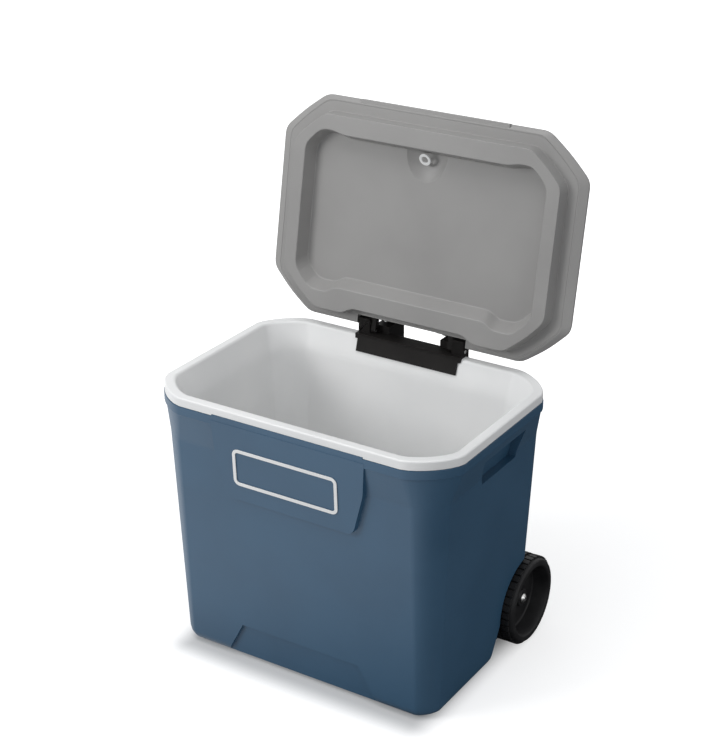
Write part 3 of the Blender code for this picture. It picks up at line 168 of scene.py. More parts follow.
world = bpy.data.worlds.new("studio_air")
bpy.context.scene.world = world
world.use_nodes = True
air = world.node_tree
ambient = air.nodes["Background"]
ambient.inputs["Color"].default_value = (0.93, 0.96, 1, 1)
ambient.inputs["Strength"].default_value = 0.42
backdrop_light = air.nodes.new("ShaderNodeBackground")
backdrop_light.inputs["Color"].default_value = (1, 1, 1, 1)
backdrop_light.inputs["Strength"].default_value = 1.0
either = air.nodes.new("ShaderNodeMixShader")
rays = air.nodes.new("ShaderNodeLightPath")
share = either.inputs[0]
for ray in ("Is Camera Ray", "Is Glossy Ray", "Is Transmission Ray"):
    most = air.nodes.new("ShaderNodeMath")
    most.operation = "MAXIMUM"
    air.links.new(most.outputs[0], share)
    air.links.new(rays.outputs[ray], most.inputs[0])
    share = most.inputs[1]
share.default_value = 0
air.links.new(ambient.outputs[0], either.inputs[1])
air.links.new(backdrop_light.outputs[0], either.inputs[2])
air.links.new(either.outputs[0], air.nodes["World Output"].inputs["Surface"])

bpy.ops.mesh.primitive_plane_add(size=14, location=(0, 0, 0))
floor = bpy.context.object
floor.name = "studio_floor"
paper = Finish("floor_paper", base_color=(0.55, 0.55, 0.55), roughness=0.9)
seen = paper.node("ShaderNodeLightPath", {}, {}, "Is Camera Ray")
mirrored = paper.node("ShaderNodeLightPath", {}, {}, "Is Glossy Ray")
spot = paper.place()
away = paper.vector("LENGTH", spot, output="Value")
# A mask that runs from the right-rear of the floor to its front-left, for painted light and painted shade in
# what glossy rays see of the floor.
painted_light_side = paper.vector("DOT_PRODUCT", spot, (-0.55, -0.83, 0), output="Value").between(-0.15, 0.5)
# How far a spot lies outside the cooler's foot. The glow fades out towards the foot, which paints a contact
# shadow along it.
past = paper.vector("SUBTRACT", paper.vector("ABSOLUTE", spot), (0.222, 0.172, 0))
past = paper.vector("MAXIMUM", past, (0, 0, 0))
painted_shadow_falloff = paper.vector("LENGTH", past, output="Value").between(-0.005, 0.055)
# To the camera the glow grows with distance so that the far floor shows white, and it is turned down near the
# foot as a painted contact shadow. To glossy rays it glows on the front-left as a painted bright reflection.
strength = seen * (away.between(0.7, 1.5) * 0.36 + 0.1 + painted_shadow_falloff * 0.56) + mirrored * painted_light_side * 0.9
glow = paper.node("ShaderNodeEmission", {}, {"Color": (1, 1, 1), "Strength": strength})
floor_with_painted_light_and_shade = paper.node("ShaderNodeAddShader", {}, {0: Wire(paper, paper.shader.outputs[0]), 1: glow})
# To glossy rays the floor is mixed towards black on the right-rear, which paints shade into its reflection.
painted_dark_reflection = paper.node("ShaderNodeEmission", {}, {"Color": (1, 1, 1), "Strength": 0.0})
floor_with_painted_light_and_shade = paper.node("ShaderNodeMixShader", {}, {0: mirrored * (1 - painted_light_side) * 0.8, 1: floor_with_painted_light_and_shade, 2: painted_dark_reflection})
paper.feed(paper.tree.nodes["Material Output"].inputs["Surface"], floor_with_painted_light_and_shade)
floor.data.materials.append(paper.material)


# The outer shell. It is blow-moulded in blue polyethylene with a matt, faintly grained
# skin, it swells out under the lip all round, and its front carries a raised badge panel.
# It holds the wheels, the handle and the drain, and foam fills it behind the liner.

corner_steps = 8
corner_profile = 0.387
shell_wall = 0.003
base_round = 0.022
crease_height = 0.403
lip_bottom = 0.456
shell_top = 0.4713
rim_top = 0.4873
axle_y = 0.1506
axle_height = 0.0797
wheel_face = 0.2737
lean = math.radians(10.07)


class Outline:
    """A level section: a rectangle whose corners are cut and bulge outwards."""

    follow = 2 - math.sqrt(2)

    def __init__(self, half_x, half_y, cut_x, cut_y, middle_y=0.0):
        self.half_x, self.half_y = half_x, half_y
        self.cut_x, self.cut_y = cut_x, cut_y
        self.middle_y = middle_y

    def inset(self, by):
        return Outline(self.half_x - by, self.half_y - by, self.cut_x - self.follow * by,
                       self.cut_y - self.follow * by, self.middle_y)

    def toward(self, other, share):
        def between(word):
            return getattr(self, word) * (1 - share) + getattr(other, word) * share
        return Outline(*map(between, ("half_x", "half_y", "cut_x", "cut_y", "middle_y")))


def pick(test, kind="VERT"):
    """Selects only the vertices, edges or faces that pass a test on their middle."""
    bpy.ops.mesh.select_mode(type=kind)
    bpy.ops.mesh.select_all(action="DESELECT")
    shape = bpy.context.object.data
    mesh = bmesh.from_edit_mesh(shape)
    for part in {"VERT": mesh.verts, "EDGE": mesh.edges, "FACE": mesh.faces}[kind]:
        corners = [part] if kind == "VERT" else part.verts
        if test(sum((corner.co for corner in corners), Vector()) / len(corners), part):
            part.select_set(True)
    mesh.select_flush_mode()
    bmesh.update_edit_mesh(shape)


def shift(test, by, grown=(1, 1, 1), centre=(0, 0, 0)):
    """Scales the vertices that pass a test about a centre, and moves them."""
    pick(test)
    if grown != (1, 1, 1):
        bpy.ops.transform.resize(value=grown, center_override=centre)
    bpy.ops.transform.translate(value=by)


def picked():
    """The numbers of the selected vertices."""
    mesh = bmesh.from_edit_mesh(bpy.context.object.data)
    mesh.verts.index_update()
    return {corner.index for corner in mesh.verts if corner.select}


def outwards():
    """Turns the faces of the shape in hand outwards, and leaves edit mode."""
    bpy.ops.mesh.select_all(action="SELECT")
    bpy.ops.mesh.normals_make_consistent(inside=False)
    bpy.ops.object.mode_set(mode="OBJECT")
    return bpy.context.object


def moulded(levels):
    """A shape drawn up from a plane through level outlines, each with its height."""
    first, height = levels[0]
    bpy.ops.mesh.primitive_plane_add(size=2, enter_editmode=True)
    wide = (first.half_x / first.cut_x, first.half_y / first.cut_y, 1)
    bpy.ops.transform.resize(value=wide, center_override=(0, 0, 0))
    bpy.ops.mesh.bevel(offset=1, segments=corner_steps, profile=corner_profile, affect="VERTICES")
    bpy.ops.mesh.select_all(action="SELECT")
    bpy.ops.transform.resize(value=(first.cut_x, first.cut_y, 1), center_override=(0, 0, 0))
    bpy.ops.transform.translate(value=(0, first.middle_y, height))
    for (old, before), (new, height) in zip(levels, levels[1:]):
        bpy.ops.mesh.extrude_region_move(TRANSFORM_OT_translate={"value": (0, 0, height - before)})
        end = picked()
        grown = (new.cut_x / old.cut_x, new.cut_y / old.cut_y, 1)
        for side, way in ((-1, -1), (-1, 1), (1, -1), (1, 1)):
            corner = (side * old.half_x, old.middle_y + way * old.half_y, height)
            shift(lambda place, part: part.index in end and place.x * side > 0
                  and (place.y - old.middle_y) * way > 0,
                  (side * new.half_x - corner[0], new.middle_y + way * new.half_y - corner[1], 0),
                  grown, corner)
        pick(lambda place, face: all(corner.index in end for corner in face.verts), "FACE")
    return outwards()


def block(low, high):
    """A block between two corners."""
    low, high = Vector(low), Vector(high)
    bpy.ops.mesh.primitive_cube_add(size=1, location=(low + high) / 2, scale=high - low)
    bpy.ops.object.transform_apply()
    return bpy.context.object


def rod(radius, start, end, sides=48):
    """A round rod between two points."""
    start, end = Vector(start), Vector(end)
    turn = (end - start).to_track_quat("Z", "Y").to_euler()
    bpy.ops.mesh.primitive_cylinder_add(vertices=sides, radius=radius, depth=(end - start).length,
                                        location=(start + end) / 2, rotation=turn)
    bpy.ops.object.transform_apply()
    return bpy.context.object


def line(points):
    """A line through points, in edit mode."""
    bpy.ops.mesh.primitive_plane_add(size=0.01, enter_editmode=True)
    bpy.ops.mesh.select_mode(type="VERT")
    bpy.ops.mesh.merge(type="CENTER")
    bpy.ops.transform.translate(value=points[0])
    for here, there in zip(points, points[1:]):
        bpy.ops.mesh.extrude_region_move(TRANSFORM_OT_translate={"value": there - here})
    bpy.ops.mesh.select_all(action="SELECT")


def drawn(*rings):
    """A solid drawn round its first ring of points, then extruded through the others."""
    before, *others = [[Vector(point) for point in ring] for ring in rings]
    line(before)
    bpy.ops.mesh.edge_face_add()
    for ring in others:
        bpy.ops.mesh.extrude_region_move(TRANSFORM_OT_translate={"value": (0, 0, 0)})
        end = picked()
        moves = {}
        for corner in bmesh.from_edit_mesh(bpy.context.object.data).verts:
            if corner.index in end:
                nearest = min(range(len(before)), key=lambda turn: (before[turn] - corner.co).length)
                by = ring[nearest] - before[nearest]
                moves.setdefault(tuple(round(way, 7) for way in by), set()).add(corner.index)
        for by, moved in moves.items():
            shift(lambda place, part: part.index in moved, by)
        pick(lambda place, face: all(corner.index in end for corner in face.verts), "FACE")
        before = ring
    return outwards()


def slab(points, along):
    """A flat-sided slab: an outline and the way that it is extruded."""
    return drawn(points, [Vector(point) + Vector(along) for point in points])


def take(piece):
    """Selects a piece alone."""
    bpy.ops.object.select_all(action="DESELECT")
    bpy.context.view_layer.objects.active = piece
    piece.select_set(True)


def with_modifier(piece, kind, **settings):
    """Gives a piece a modifier and applies it."""
    take(piece)
    bpy.ops.object.modifier_add(type=kind)
    modifier = piece.modifiers[-1]
    for word, value in settings.items():
        setattr(modifier, word, value)
    bpy.ops.object.modifier_apply(modifier=modifier.name)


def carve(piece, *tools, operation="DIFFERENCE"):
    """Cuts tools out of a piece, or joins them to it, and throws the tools away."""
    for tool in tools:
        with_modifier(piece, "BOOLEAN", operation=operation, solver="EXACT", object=tool)
        bpy.data.objects.remove(tool)
    return piece


def clean(piece, edge=0.0, segments=2, angle=35):
    """Merges what a cut leaves behind, and rounds the sharp edges."""
    take(piece)
    bpy.ops.object.mode_set(mode="EDIT")
    bpy.ops.mesh.select_all(action="SELECT")
    bpy.ops.mesh.remove_doubles(threshold=0.00004)
    bpy.ops.mesh.dissolve_limited(angle_limit=math.radians(0.6))
    bpy.ops.object.mode_set(mode="OBJECT")
    if edge:
        with_modifier(piece, "BEVEL", width=edge, segments=segments, limit_method="ANGLE",
                      angle_limit=math.radians(angle), miter_outer="MITER_ARC")


def hand_over(piece, name, finish, body, stands_for, smooth=32):
    """Smooths a finished piece, and gives it its name, its finish and its place."""
    piece.name = name
    take(piece)
    bpy.ops.object.shade_smooth_by_angle(angle=math.radians(smooth))
    with_modifier(piece, "WEIGHTED_NORMAL", keep_sharp=True)
    piece.data.materials.clear()
    piece.data.materials.append(finish.material)
    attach(piece, body)
    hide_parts(stands_for)


foot = Outline(0.2527, 0.1665, 0.032, 0.034, 0.003)
crease = Outline(0.268, 0.188, 0.049, 0.0455, 0.003)
rim = Outline(0.285, 0.198, 0.0757, 0.0689)


def wall_at(height):
    """The outside of the body at a height under the crease."""
    return foot.toward(crease, height / crease_height)


def body_shape(inward, top):
    """The body's outside up to a height, or a shape a wall's thickness inside it."""
    radius = base_round - inward
    levels = []
    for step in range(6):
        turn = math.radians(18 * step)
        height = inward + radius * (1 - math.cos(turn))
        levels.append((wall_at(height).inset(inward + radius * (1 - math.sin(turn))), height))
    return moulded(levels + [(crease.inset(inward), crease_height),
                             (rim.inset(inward + 0.0024), lip_bottom - 0.0012),
                             (rim.inset(inward), lip_bottom), (rim.inset(inward), top)])


panel_foot = 0.328
panel_proud = 0.0065


def front_panel():
    """The badge panel, which stands out of the front and ends in the lip."""
    rings = []
    for height, half in ((panel_foot, 0.11), (0.3289, 0.1145), (0.3315, 0.1185), (0.335, 0.1213),
                         (0.34, 0.1239), (crease_height, 0.141), (lip_bottom + 0.008, 0.146)):
        face = wall_at(height).half_y + panel_proud if height <= crease_height else 0.1985
        rings.append([(-half - 0.004, -0.165, height), (half + 0.004, -0.165, height),
                      (half, -face, height), (-half, -face, height)])
    return drawn(*rings)


past_side = 0.297
under_foot = -0.012
pocket_y = 0.0165


def grip_pocket(side, grow):
    """The pocket for the fingers in one side, which rises inwards."""
    rings = []
    for across, rise, slope in ((crease.half_x - 0.01 - grow, 0.002, 0.005), (past_side, 0, 0)):
        low, high = 0.392 - grow, 0.438 + rise + grow
        foot_half = 0.0565 + grow
        top_half = foot_half + (high - low) * 0.2826
        deep = side * (across - slope)
        rings.append([(deep, pocket_y - foot_half, low), (deep, pocket_y + foot_half, low),
                      (side * across, pocket_y + top_half, high),
                      (side * across, pocket_y - top_half, high)])
    return drawn(*rings)


def wheel_well(side, grow):
    """The well for a wheel, open to the side, the back and the floor."""
    radius = 0.085 + grow
    across = side * (wheel_face - 0.052 - grow)
    outline = [(across, axle_y - 0.1231 - grow, under_foot)]
    for step in range(25):
        turn = math.radians(187 * (1 - step / 24))
        outline.append((across, axle_y + radius * math.cos(turn), axle_height + radius * math.sin(turn)))
    outline.append((across, axle_y + radius, under_foot))
    return slab(outline, (side * past_side - across, 0, 0))


tube_across = 0.0655


def on_handle(x, y, along):
    """A point in the handle's own frame: out of the body is y, and up the tubes is along."""
    return Vector((x, 0.2375 + y * math.cos(lean) + along * math.sin(lean),
                   0.5 - y * math.sin(lean) + along * math.cos(lean)))


def tube_groove(side, grow):
    """The groove in the back that a handle tube lies in."""
    radius = 0.0135 + grow
    turns = [math.radians(180 + 15 * step) for step in range(13)]
    outline = [(radius * math.cos(turn), radius * math.sin(turn)) for turn in turns]
    outline += [(radius, 0.2), (-radius, 0.2)]
    foot, top = [[on_handle(side * tube_across + x, y, along) for x, y in outline]
                 for along in (-0.3953 - grow, -0.052)]
    return drawn(foot, top)


def body_features(grow):
    """What is taken out of the body's walls, or that with a wall's thickness round it."""
    tools = [make(side, grow) for make in (grip_pocket, wheel_well, tube_groove) for side in (-1, 1)]
    tools += [block((side * 0.12 - 0.0263 - grow, keeper_seat - grow, 0.0664 - grow),
                    (side * 0.12 + 0.0263 + grow, rim.half_y, 0.093 + grow)) for side in (-1, 1)]
    tools.append(block((-0.0923 - grow, clamp_seat - grow, clamp_foot - 0.0003 - grow),
                       (0.0923 + grow, rim.half_y, clamp_foot + 0.0263 + grow)))
    tools.append(block((-wheel_face, axle_y - 0.0072 - grow, 0.0725 - grow),
                       (wheel_face, rim.half_y, 0.0869 + grow)))
    toe = [[(-half, -0.19, height), (half, -0.19, height),
            (half, 0.0095 + grow - face, height), (-half, 0.0095 + grow - face, height)]
           for height, half, face in ((under_foot, 0.16 + grow, wall_at(under_foot).half_y),
                                      (0.07 + grow, 0.116 + grow, wall_at(0.07).half_y))]
    return tools + [drawn(*toe)]


def drain_rod(radius, end, start=-0.285):
    """A rod along the drain's axis, from outside the left wall to a place inside it."""
    return rod(radius, (start, drain_y, drain_height), (end, drain_y, drain_height))


clamp_foot = 0.5 - 0.388 * math.cos(lean)
keeper_seat = wall_at(0.0667).middle_y + wall_at(0.0667).half_y - 0.0003
clamp_seat = wall_at(clamp_foot).middle_y + wall_at(clamp_foot).half_y - 0.0003
drain_y, drain_height, drain_bore = -0.055, 0.0805, 0.012
drain_seat = -wall_at(drain_height - 0.021).half_x + 0.0003

shell = body_shape(0, shell_top)
bpy.ops.object.mode_set(mode="EDIT")
for height, width, steps in ((crease_height, 0.0035, 3), (lip_bottom, 0.0006, 2), (shell_top, 0.0012, 2)):
    pick(lambda place, edge: all(abs(corner.co.z - height) < 0.0001 for corner in edge.verts), "EDGE")
    bpy.ops.mesh.bevel(offset=width, segments=steps, clamp_overlap=False)
bpy.ops.object.mode_set(mode="OBJECT")
carve(shell, front_panel(), block((-0.143, -rim.half_y, 0.464), (0.143, -0.191, 0.4741)),
      operation="UNION")
carve(shell, *body_features(0))
hollow = body_shape(shell_wall, rim_top)
carve(hollow, *body_features(shell_wall))
carve(hollow, drain_rod(0.024, drain_seat + shell_wall))
carve(shell, hollow, drain_rod(0.0213, drain_seat), drain_rod(drain_bore, 0))
clean(shell, 0.0019)

blue_skin = Finish("blue_skin", "blue_plastic", base_color=(0.024, 0.075, 0.139), roughness=0.42)
cloud = blue_skin.noise(7, 3)
blue_skin.dapple(cloud.between(0.3, 0.7), (0.022, 0.071, 0.132), (0.027, 0.081, 0.147))
blue_skin.sheen(cloud * 0.08 + 0.38)
blue_skin.bump(blue_skin.noise(900, 2) + blue_skin.noise(60, 2) * 0.6, 0.00012)
hand_over(shell, "shell_skin", blue_skin, "cooler_body", "outer_shell")


# The liner. It is injection-moulded in white polypropylene: the tub runs up into a wide soft
# rim, and the rim's band laps down over the shell and hides its edge all round.

tub_floor = Outline(0.204, 0.122, 0.03, 0.03)
mouth = rim.inset(0.0185)
band_foot = 0.472
mouth_foot = 0.4835


def liner_at(height):
    """The inside of the tub at a height: it leans out more and more towards the mouth."""
    bend = ((0.06, 0), (0.42, 0.7145), (0.434, 0.744), (0.446, 0.786), (0.458, 0.842), (rim_top, 1))
    for (low, before), (high, after) in zip(bend, bend[1:]):
        if height <= high:
            return tub_floor.toward(mouth, before + (after - before) * (height - low) / (high - low))


def liner_levels(grow, top):
    """The tub's inside as levels from the floor up, or its outside when it is grown."""
    radius = 0.008 + grow
    levels = []
    for step in range(5):
        turn = math.radians(22.5 * step)
        height = 0.06 - grow + radius * (1 - math.cos(turn))
        inward = radius * (1 - math.sin(turn)) - grow
        levels.append((liner_at(max(height, 0.06)).inset(inward), height))
    levels += [(liner_at(height).inset(-grow), height)
               for height in (0.2, 0.33, 0.4, 0.42, 0.434, 0.446, 0.458, top)]
    return levels


rim_levels = [(outline.inset(inward), height) for outline, inward, height in (
    (rim, 0.001, band_foot), (rim, 0.001, 0.4843), (rim, 0.0014, 0.4858), (rim, 0.0025, 0.4869),
    (rim, 0.004, rim_top), (mouth, -0.005, rim_top), (mouth, -0.0025, 0.4869), (mouth, -0.0009, 0.4858),
    (liner_at(mouth_foot), 0, mouth_foot))]
liner = moulded(liner_levels(0.0025, band_foot) + rim_levels + liner_levels(0, band_foot)[::-1])
nut_seat = -0.198
carve(liner, drain_rod(0.021, nut_seat, -0.2085), operation="UNION")
carve(liner, block((-0.1433, -0.199, 0.463), (0.1433, -0.1907, 0.4744)),
      block((-0.1053, 0.1672, 0.481), (0.1053, 0.2, 0.5)), drain_rod(drain_bore, 0))
clean(liner, 0.0007)

white_skin = Finish("white_skin", "white_plastic", base_color=(0.76, 0.76, 0.75), roughness=0.34)
milk = white_skin.noise(5, 3)
white_skin.dapple(milk.between(0.3, 0.7), (0.735, 0.738, 0.735), (0.79, 0.79, 0.785))
white_skin.sheen(milk * 0.1 + 0.3)
white_skin.bump(white_skin.noise(700, 2) + white_skin.noise(45, 2) * 0.5, 0.00008)
hand_over(liner, "tub_liner", white_skin, "cooler_body", "inner_liner")


# The foam between shell and liner. It is poured polyurethane that fills every hollow of the
# walls, so it takes the shape of the shell's inside, and it shows only in the drain's hole.

foam_gap = 0.0036
core = moulded([(wall_at(foam_gap).inset(0.0236), foam_gap), (wall_at(0.01).inset(0.0095), 0.0105),
                (wall_at(0.022).inset(foam_gap), 0.022), (crease.inset(foam_gap), crease_height),
                (rim.inset(0.006), lip_bottom), (rim.inset(0.006), 0.4714)])
carve(core, moulded(liner_levels(0.0031, band_foot) + [(liner_at(mouth_foot), mouth_foot)]))
carve(core, *body_features(foam_gap))
carve(core, drain_rod(0.026, drain_seat + foam_gap), drain_rod(drain_bore, 0))
clean(core)

foam_skin = Finish("foam_skin", "foam", base_color=(0.72, 0.62, 0.4), roughness=0.9)
cells = foam_skin.node("ShaderNodeTexVoronoi", {}, {"Vector": foam_skin.place(), "Scale": 420.0})
foam_skin.dapple(cells.between(0, 0.8), (0.6, 0.48, 0.27), (0.8, 0.71, 0.49))
foam_skin.bump(cells, 0.0004)
hand_over(core, "foam_filling", foam_skin, "cooler_body", "foam_core")


# The badge frame. It is a thin moulded frame of white plastic with round corners, clipped
# on the panel of the shell, and the blue panel shows bare inside it.

badge_height = 0.39


def on_panel(across, up, proud):
    """A point on the badge panel's slope, in the frame's own directions."""
    slope = (crease.half_y - wall_at(panel_foot).half_y) / (crease_height - panel_foot)
    face = wall_at(badge_height).half_y + panel_proud
    run = math.hypot(1, slope)
    return Vector((across - 0.005, -face - (proud + up * slope) / run,
                   badge_height + (up - proud * slope) / run))


def badge_slab(inward, low, high):
    """A rounded slab on the panel."""
    half_wide, half_tall, radius = 0.1 - inward, 0.03325 - inward, 0.011 - inward
    outline = []
    for corner, (side, way) in enumerate(((1, 1), (-1, 1), (-1, -1), (1, -1))):
        for step in range(7):
            turn = math.radians(90 * corner + 15 * step)
            outline.append((side * (half_wide - radius) + radius * math.cos(turn),
                            way * (half_tall - radius) + radius * math.sin(turn)))
    return drawn(*[[on_panel(x, y, proud) for x, y in outline] for proud in (low, high)])


badge = badge_slab(0, 0.0003, 0.0019)
carve(badge, badge_slab(0.0058, -0.002, 0.004))
clean(badge, 0.0005, angle=50)
hand_over(badge, "badge_border", white_skin, "cooler_body", "badge_frame")


# The lid's pan. It is thermoformed in grey plastic: a plateau drops into the tub's mouth, and
# in it a recess with a scooped hollow keeps clear of what stands tall in the tub.

def softened(corners, steps=3):
    """An outline whose corners, each with the length that it may take, are rounded."""
    points = []
    for before, corner, after in zip(corners[-1:] + corners[:-1], corners, corners[1:] + corners[:1]):
        here = Vector(corner[:2])
        ends = []
        for other in (before, after):
            way = Vector(other[:2]) - here
            ends.append(here + way.normalized() * min(corner[2], way.length * 0.48))
        for step in range(steps + 1):
            share = step / steps
            points.append(ends[0] * (1 - share) ** 2 + here * 2 * share * (1 - share) + ends[1] * share ** 2)
    return points


def pan_ring(half, front, rear, front_cut, rear_cut, height, inset, front_step=0.0, rear_step=0.0,
             step_at=0.112):
    """A level outline of the pan, with its soft steps beside the hinge and in the corners."""
    half, front, rear = half - inset, front + inset, rear - inset
    front_cut, rear_cut = [Vector(cut) - Vector((inset, inset)) * Outline.follow
                           for cut in (front_cut, rear_cut)]
    across = half - rear_cut.x
    for side in (-1, 1):
        front_part = [(side * (half - front_cut.x), front - front_step, 0.012),
                      (side * 0.179, front - front_step, 0.008), (side * 0.158, front, 0.008)]
        rear_part = [(side * (step_at - inset * 0.4), rear - rear_step, 0.008),
                     (side * (step_at + 0.02 - inset * 0.4), rear, 0.008), (side * across, rear, 0.012)]
        side_part = [(side * (half - rear_cut.x * 0.46), rear - rear_cut.y * 0.46, 0.02),
                     (side * half, rear - rear_cut.y, 0.012),
                     (side * half, front - front_step + front_cut.y, 0.012),
                     (side * (half - front_cut.x * 0.47), front - front_step + front_cut.y * 0.47, 0.02)]
        if side < 0:
            left_front, left_rest = front_part, rear_part + side_part
        else:
            corners = left_front + front_part[::-1] + side_part[::-1] + rear_part[::-1] + left_rest
    return [(point.x, point.y, height) for point in softened(corners)]


flange = 0.4876
pan_foot = flange - 0.022
pan_floor = flange + 0.005


def plateau_ring(inset, height):
    return pan_ring(0.2605, -0.1755, 0.1725, (0.0613, 0.0545), (0.0705, 0.066), height, inset,
                    rear_step=0.0115)


def recess_ring(inset, height, rear=0.0):
    return pan_ring(0.233, -0.1395, 0.1375 - rear, (0.031, 0.031), (0.034, 0.034), height, inset,
                    front_step=0.005, rear_step=0.0115, step_at=0.146)


sheet = drawn(
    *[recess_ring(*ring) for ring in (
        (0.009, pan_floor, 0.0076), (0.008, pan_floor - 0.0003, 0.0072),
        (0.0072, pan_floor - 0.0013, 0.0067), (0.0006, pan_foot + 0.0016, 0.0006),
        (-0.0002, pan_foot + 0.0004), (-0.0014, pan_foot))],
    *[plateau_ring(*ring) for ring in (
        (0.005, pan_foot), (0.0043, pan_foot + 0.0002), (0.0038, pan_foot + 0.0009),
        (0.0004, flange - 0.0012), (-0.0001, flange - 0.0003), (-0.0009, flange))],
    pan_ring(0.2779, -0.1927, 0.1814, (0.0716, 0.0636), (0.0716, 0.0636), flange, 0))
bpy.ops.object.mode_set(mode="EDIT")
pick(lambda place, face: abs(place.z - flange) < 0.0001 and len(face.verts) > 8, "FACE")
bpy.ops.mesh.delete(type="FACE")
bpy.ops.mesh.select_all(action="SELECT")
bpy.ops.mesh.flip_normals()
bpy.ops.object.mode_set(mode="OBJECT")
with_modifier(sheet, "SOLIDIFY", thickness=0.0025, offset=-1, use_even_offset=True)


def scoop_ball(grow):
    """The hollow before the plug, or the bulge that makes its wall on the other side."""
    bpy.ops.mesh.primitive_uv_sphere_add(segments=56, ring_count=28, radius=1,
                                         location=(-0.006, -0.132, pan_floor - 0.009),
                                         scale=(0.0462 + grow, 0.06 + grow, 0.018 + grow))
    bpy.ops.object.transform_apply()
    ball = bpy.context.object
    carve(ball, block((-0.1, -0.3, 0.4), (0.1, -0.1322 - grow, 0.6)))
    if grow:
        carve(ball, block((-0.1, -0.3, 0.4), (0.1, 0, pan_floor + 0.0012)))
    return ball


hinge_line = Vector((0, 0.193, 0.4961))
open_angle = math.radians(100.07)
plug_way = Vector((0, math.sin(math.radians(25)), -math.cos(math.radians(25))))
plug_foot = Vector((-0.006, -0.121, 0.4886))


def swung_open(piece):
    """Turns a piece of the lid, modelled closed, about the hinge to where it stands open."""
    take(piece)
    bpy.ops.transform.rotate(value=open_angle, orient_axis="X", center_override=hinge_line)
    bpy.ops.object.transform_apply()


carve(sheet, scoop_ball(0.0025), rod(0.0125, plug_foot - plug_way * 0.006, plug_foot), operation="UNION")
carve(sheet, scoop_ball(0), block((-0.1111, 0.1664, 0.45), (0.1111, 0.2, 0.52)))
clean(sheet)
swung_open(sheet)

grey_skin = Finish("grey_skin", "grey_plastic", base_color=(0.27, 0.265, 0.26), roughness=0.42)
grey_skin.shader.inputs["Specular IOR Level"].default_value = 0.3
dusk = grey_skin.noise(6, 3)
grey_skin.dapple(dusk.between(0.3, 0.7), (0.258, 0.253, 0.248), (0.285, 0.28, 0.274))
grey_skin.sheen(dusk * 0.1 + 0.34)
grey_skin.bump(grey_skin.noise(800, 2) + grey_skin.noise(50, 2) * 0.5, 0.0001)
hand_over(sheet, "lid_inner_pan", grey_skin, "lid", "lid_pan", smooth=40)


# The lid's cover. It is the grey outer half of the lid, welded to the pan's edge: its skirt
# tapers to the foot, its lip is for lifting it, and its top has four hollows for drinks.

def cover_ring(inset, height):
    return pan_ring(0.294, -0.2018, 0.1865, (0.081, 0.0689), (0.081, 0.0689), flange + height, inset)


def cover_foot(inset, height):
    return pan_ring(0.281, -0.1958, 0.1845, (0.0734, 0.0654), (0.0734, 0.0654), flange + height, inset)


def hollows(radius, low):
    """Four round tools for the drinks' hollows."""
    places = [(side * 0.1908, -0.00765 + way * 0.09615) for side in (-1, 1) for way in (-1, 1)]
    return [rod(radius, (x, y, low), (x, y, 0.54), 72) for x, y in places]


cover = drawn(cover_foot(0.0009, 0), cover_foot(0, 0.0007), *[cover_ring(*ring) for ring in (
    (0.0007, 0.0053), (0, 0.0064), (0, 0.0086), (0.0006, 0.0097), (0.0102, 0.0252), (0.0118, 0.027),
    (0.0155, 0.0307), (0.0185, 0.0318), (0.0205, 0.032))])
carve(cover, block((-0.143, -0.2026, 0.4881), (0.143, -0.193, 0.4956)), operation="UNION")
inside = drawn(cover_foot(0.0028, -0.01), cover_foot(0.0028, 0.0018), cover_ring(0.0031, 0.0072),
               cover_ring(0.0031, 0.009), cover_ring(0.0136, 0.0236), cover_ring(0.0205, 0.0292))
carve(inside, block((-0.1108, 0.1667, 0.47), (0.1108, 0.2, 0.53)), *hollows(0.0418, 0.5018))
carve(cover, block((-0.108, 0.1695, 0.47), (0.108, 0.2, 0.53)), *hollows(0.039, 0.5046), inside)
clean(cover, 0.0009, angle=50)
swung_open(cover)
hand_over(cover, "lid_outer_cover", grey_skin, "lid", "lid_top", smooth=34)


# The lid's foam. It is poured between cover and pan like the body's, and takes their shape.

lid_core = drawn(
    cover_ring(0.0215, 0.0284), cover_ring(0.0145, 0.0228), cover_ring(0.0039, 0.0088),
    cover_ring(0.0039, 0.0074), cover_foot(0.0036, 0.0034), plateau_ring(-0.006, flange + 0.0034),
    plateau_ring(0.0004, flange), plateau_ring(0.0072, pan_foot + 0.0034),
    recess_ring(-0.0044, pan_foot + 0.0034), recess_ring(-0.003, pan_foot + 0.0048),
    recess_ring(0.0036, pan_floor - 0.0036, 0.0065), recess_ring(0.0092, pan_floor + 0.0034, 0.0075))
carve(lid_core, block((-0.1117, 0.1658, 0.46), (0.1117, 0.2, 0.53)), *hollows(0.0424, 0.5012),
      scoop_ball(0.0034), rod(0.0132, plug_foot - plug_way * 0.009, plug_foot))
clean(lid_core)
swung_open(lid_core)
hand_over(lid_core, "lid_filling", foam_skin, "lid", "lid_foam")


# The filling hole's plug. It is a small white ring pressed into its seat at the front of the
# recess, and it leans with the seat.

plug = rod(0.011, plug_foot + plug_way * 0.0003, plug_foot + plug_way * 0.0033, 64)
carve(plug, rod(0.0058, plug_foot - plug_way * 0.01, plug_foot + plug_way * 0.01, 48))
clean(plug, 0.0009, segments=3)
swung_open(plug)
hand_over(plug, "filling_plug", white_skin, "lid", "fill_plug")


# The hinge bracket. It is a saddle of black glass-filled nylon over the rear rim: its skirt
# lies on the tub's wall, two towers take the hinge pins and two guides hold the handle tubes.

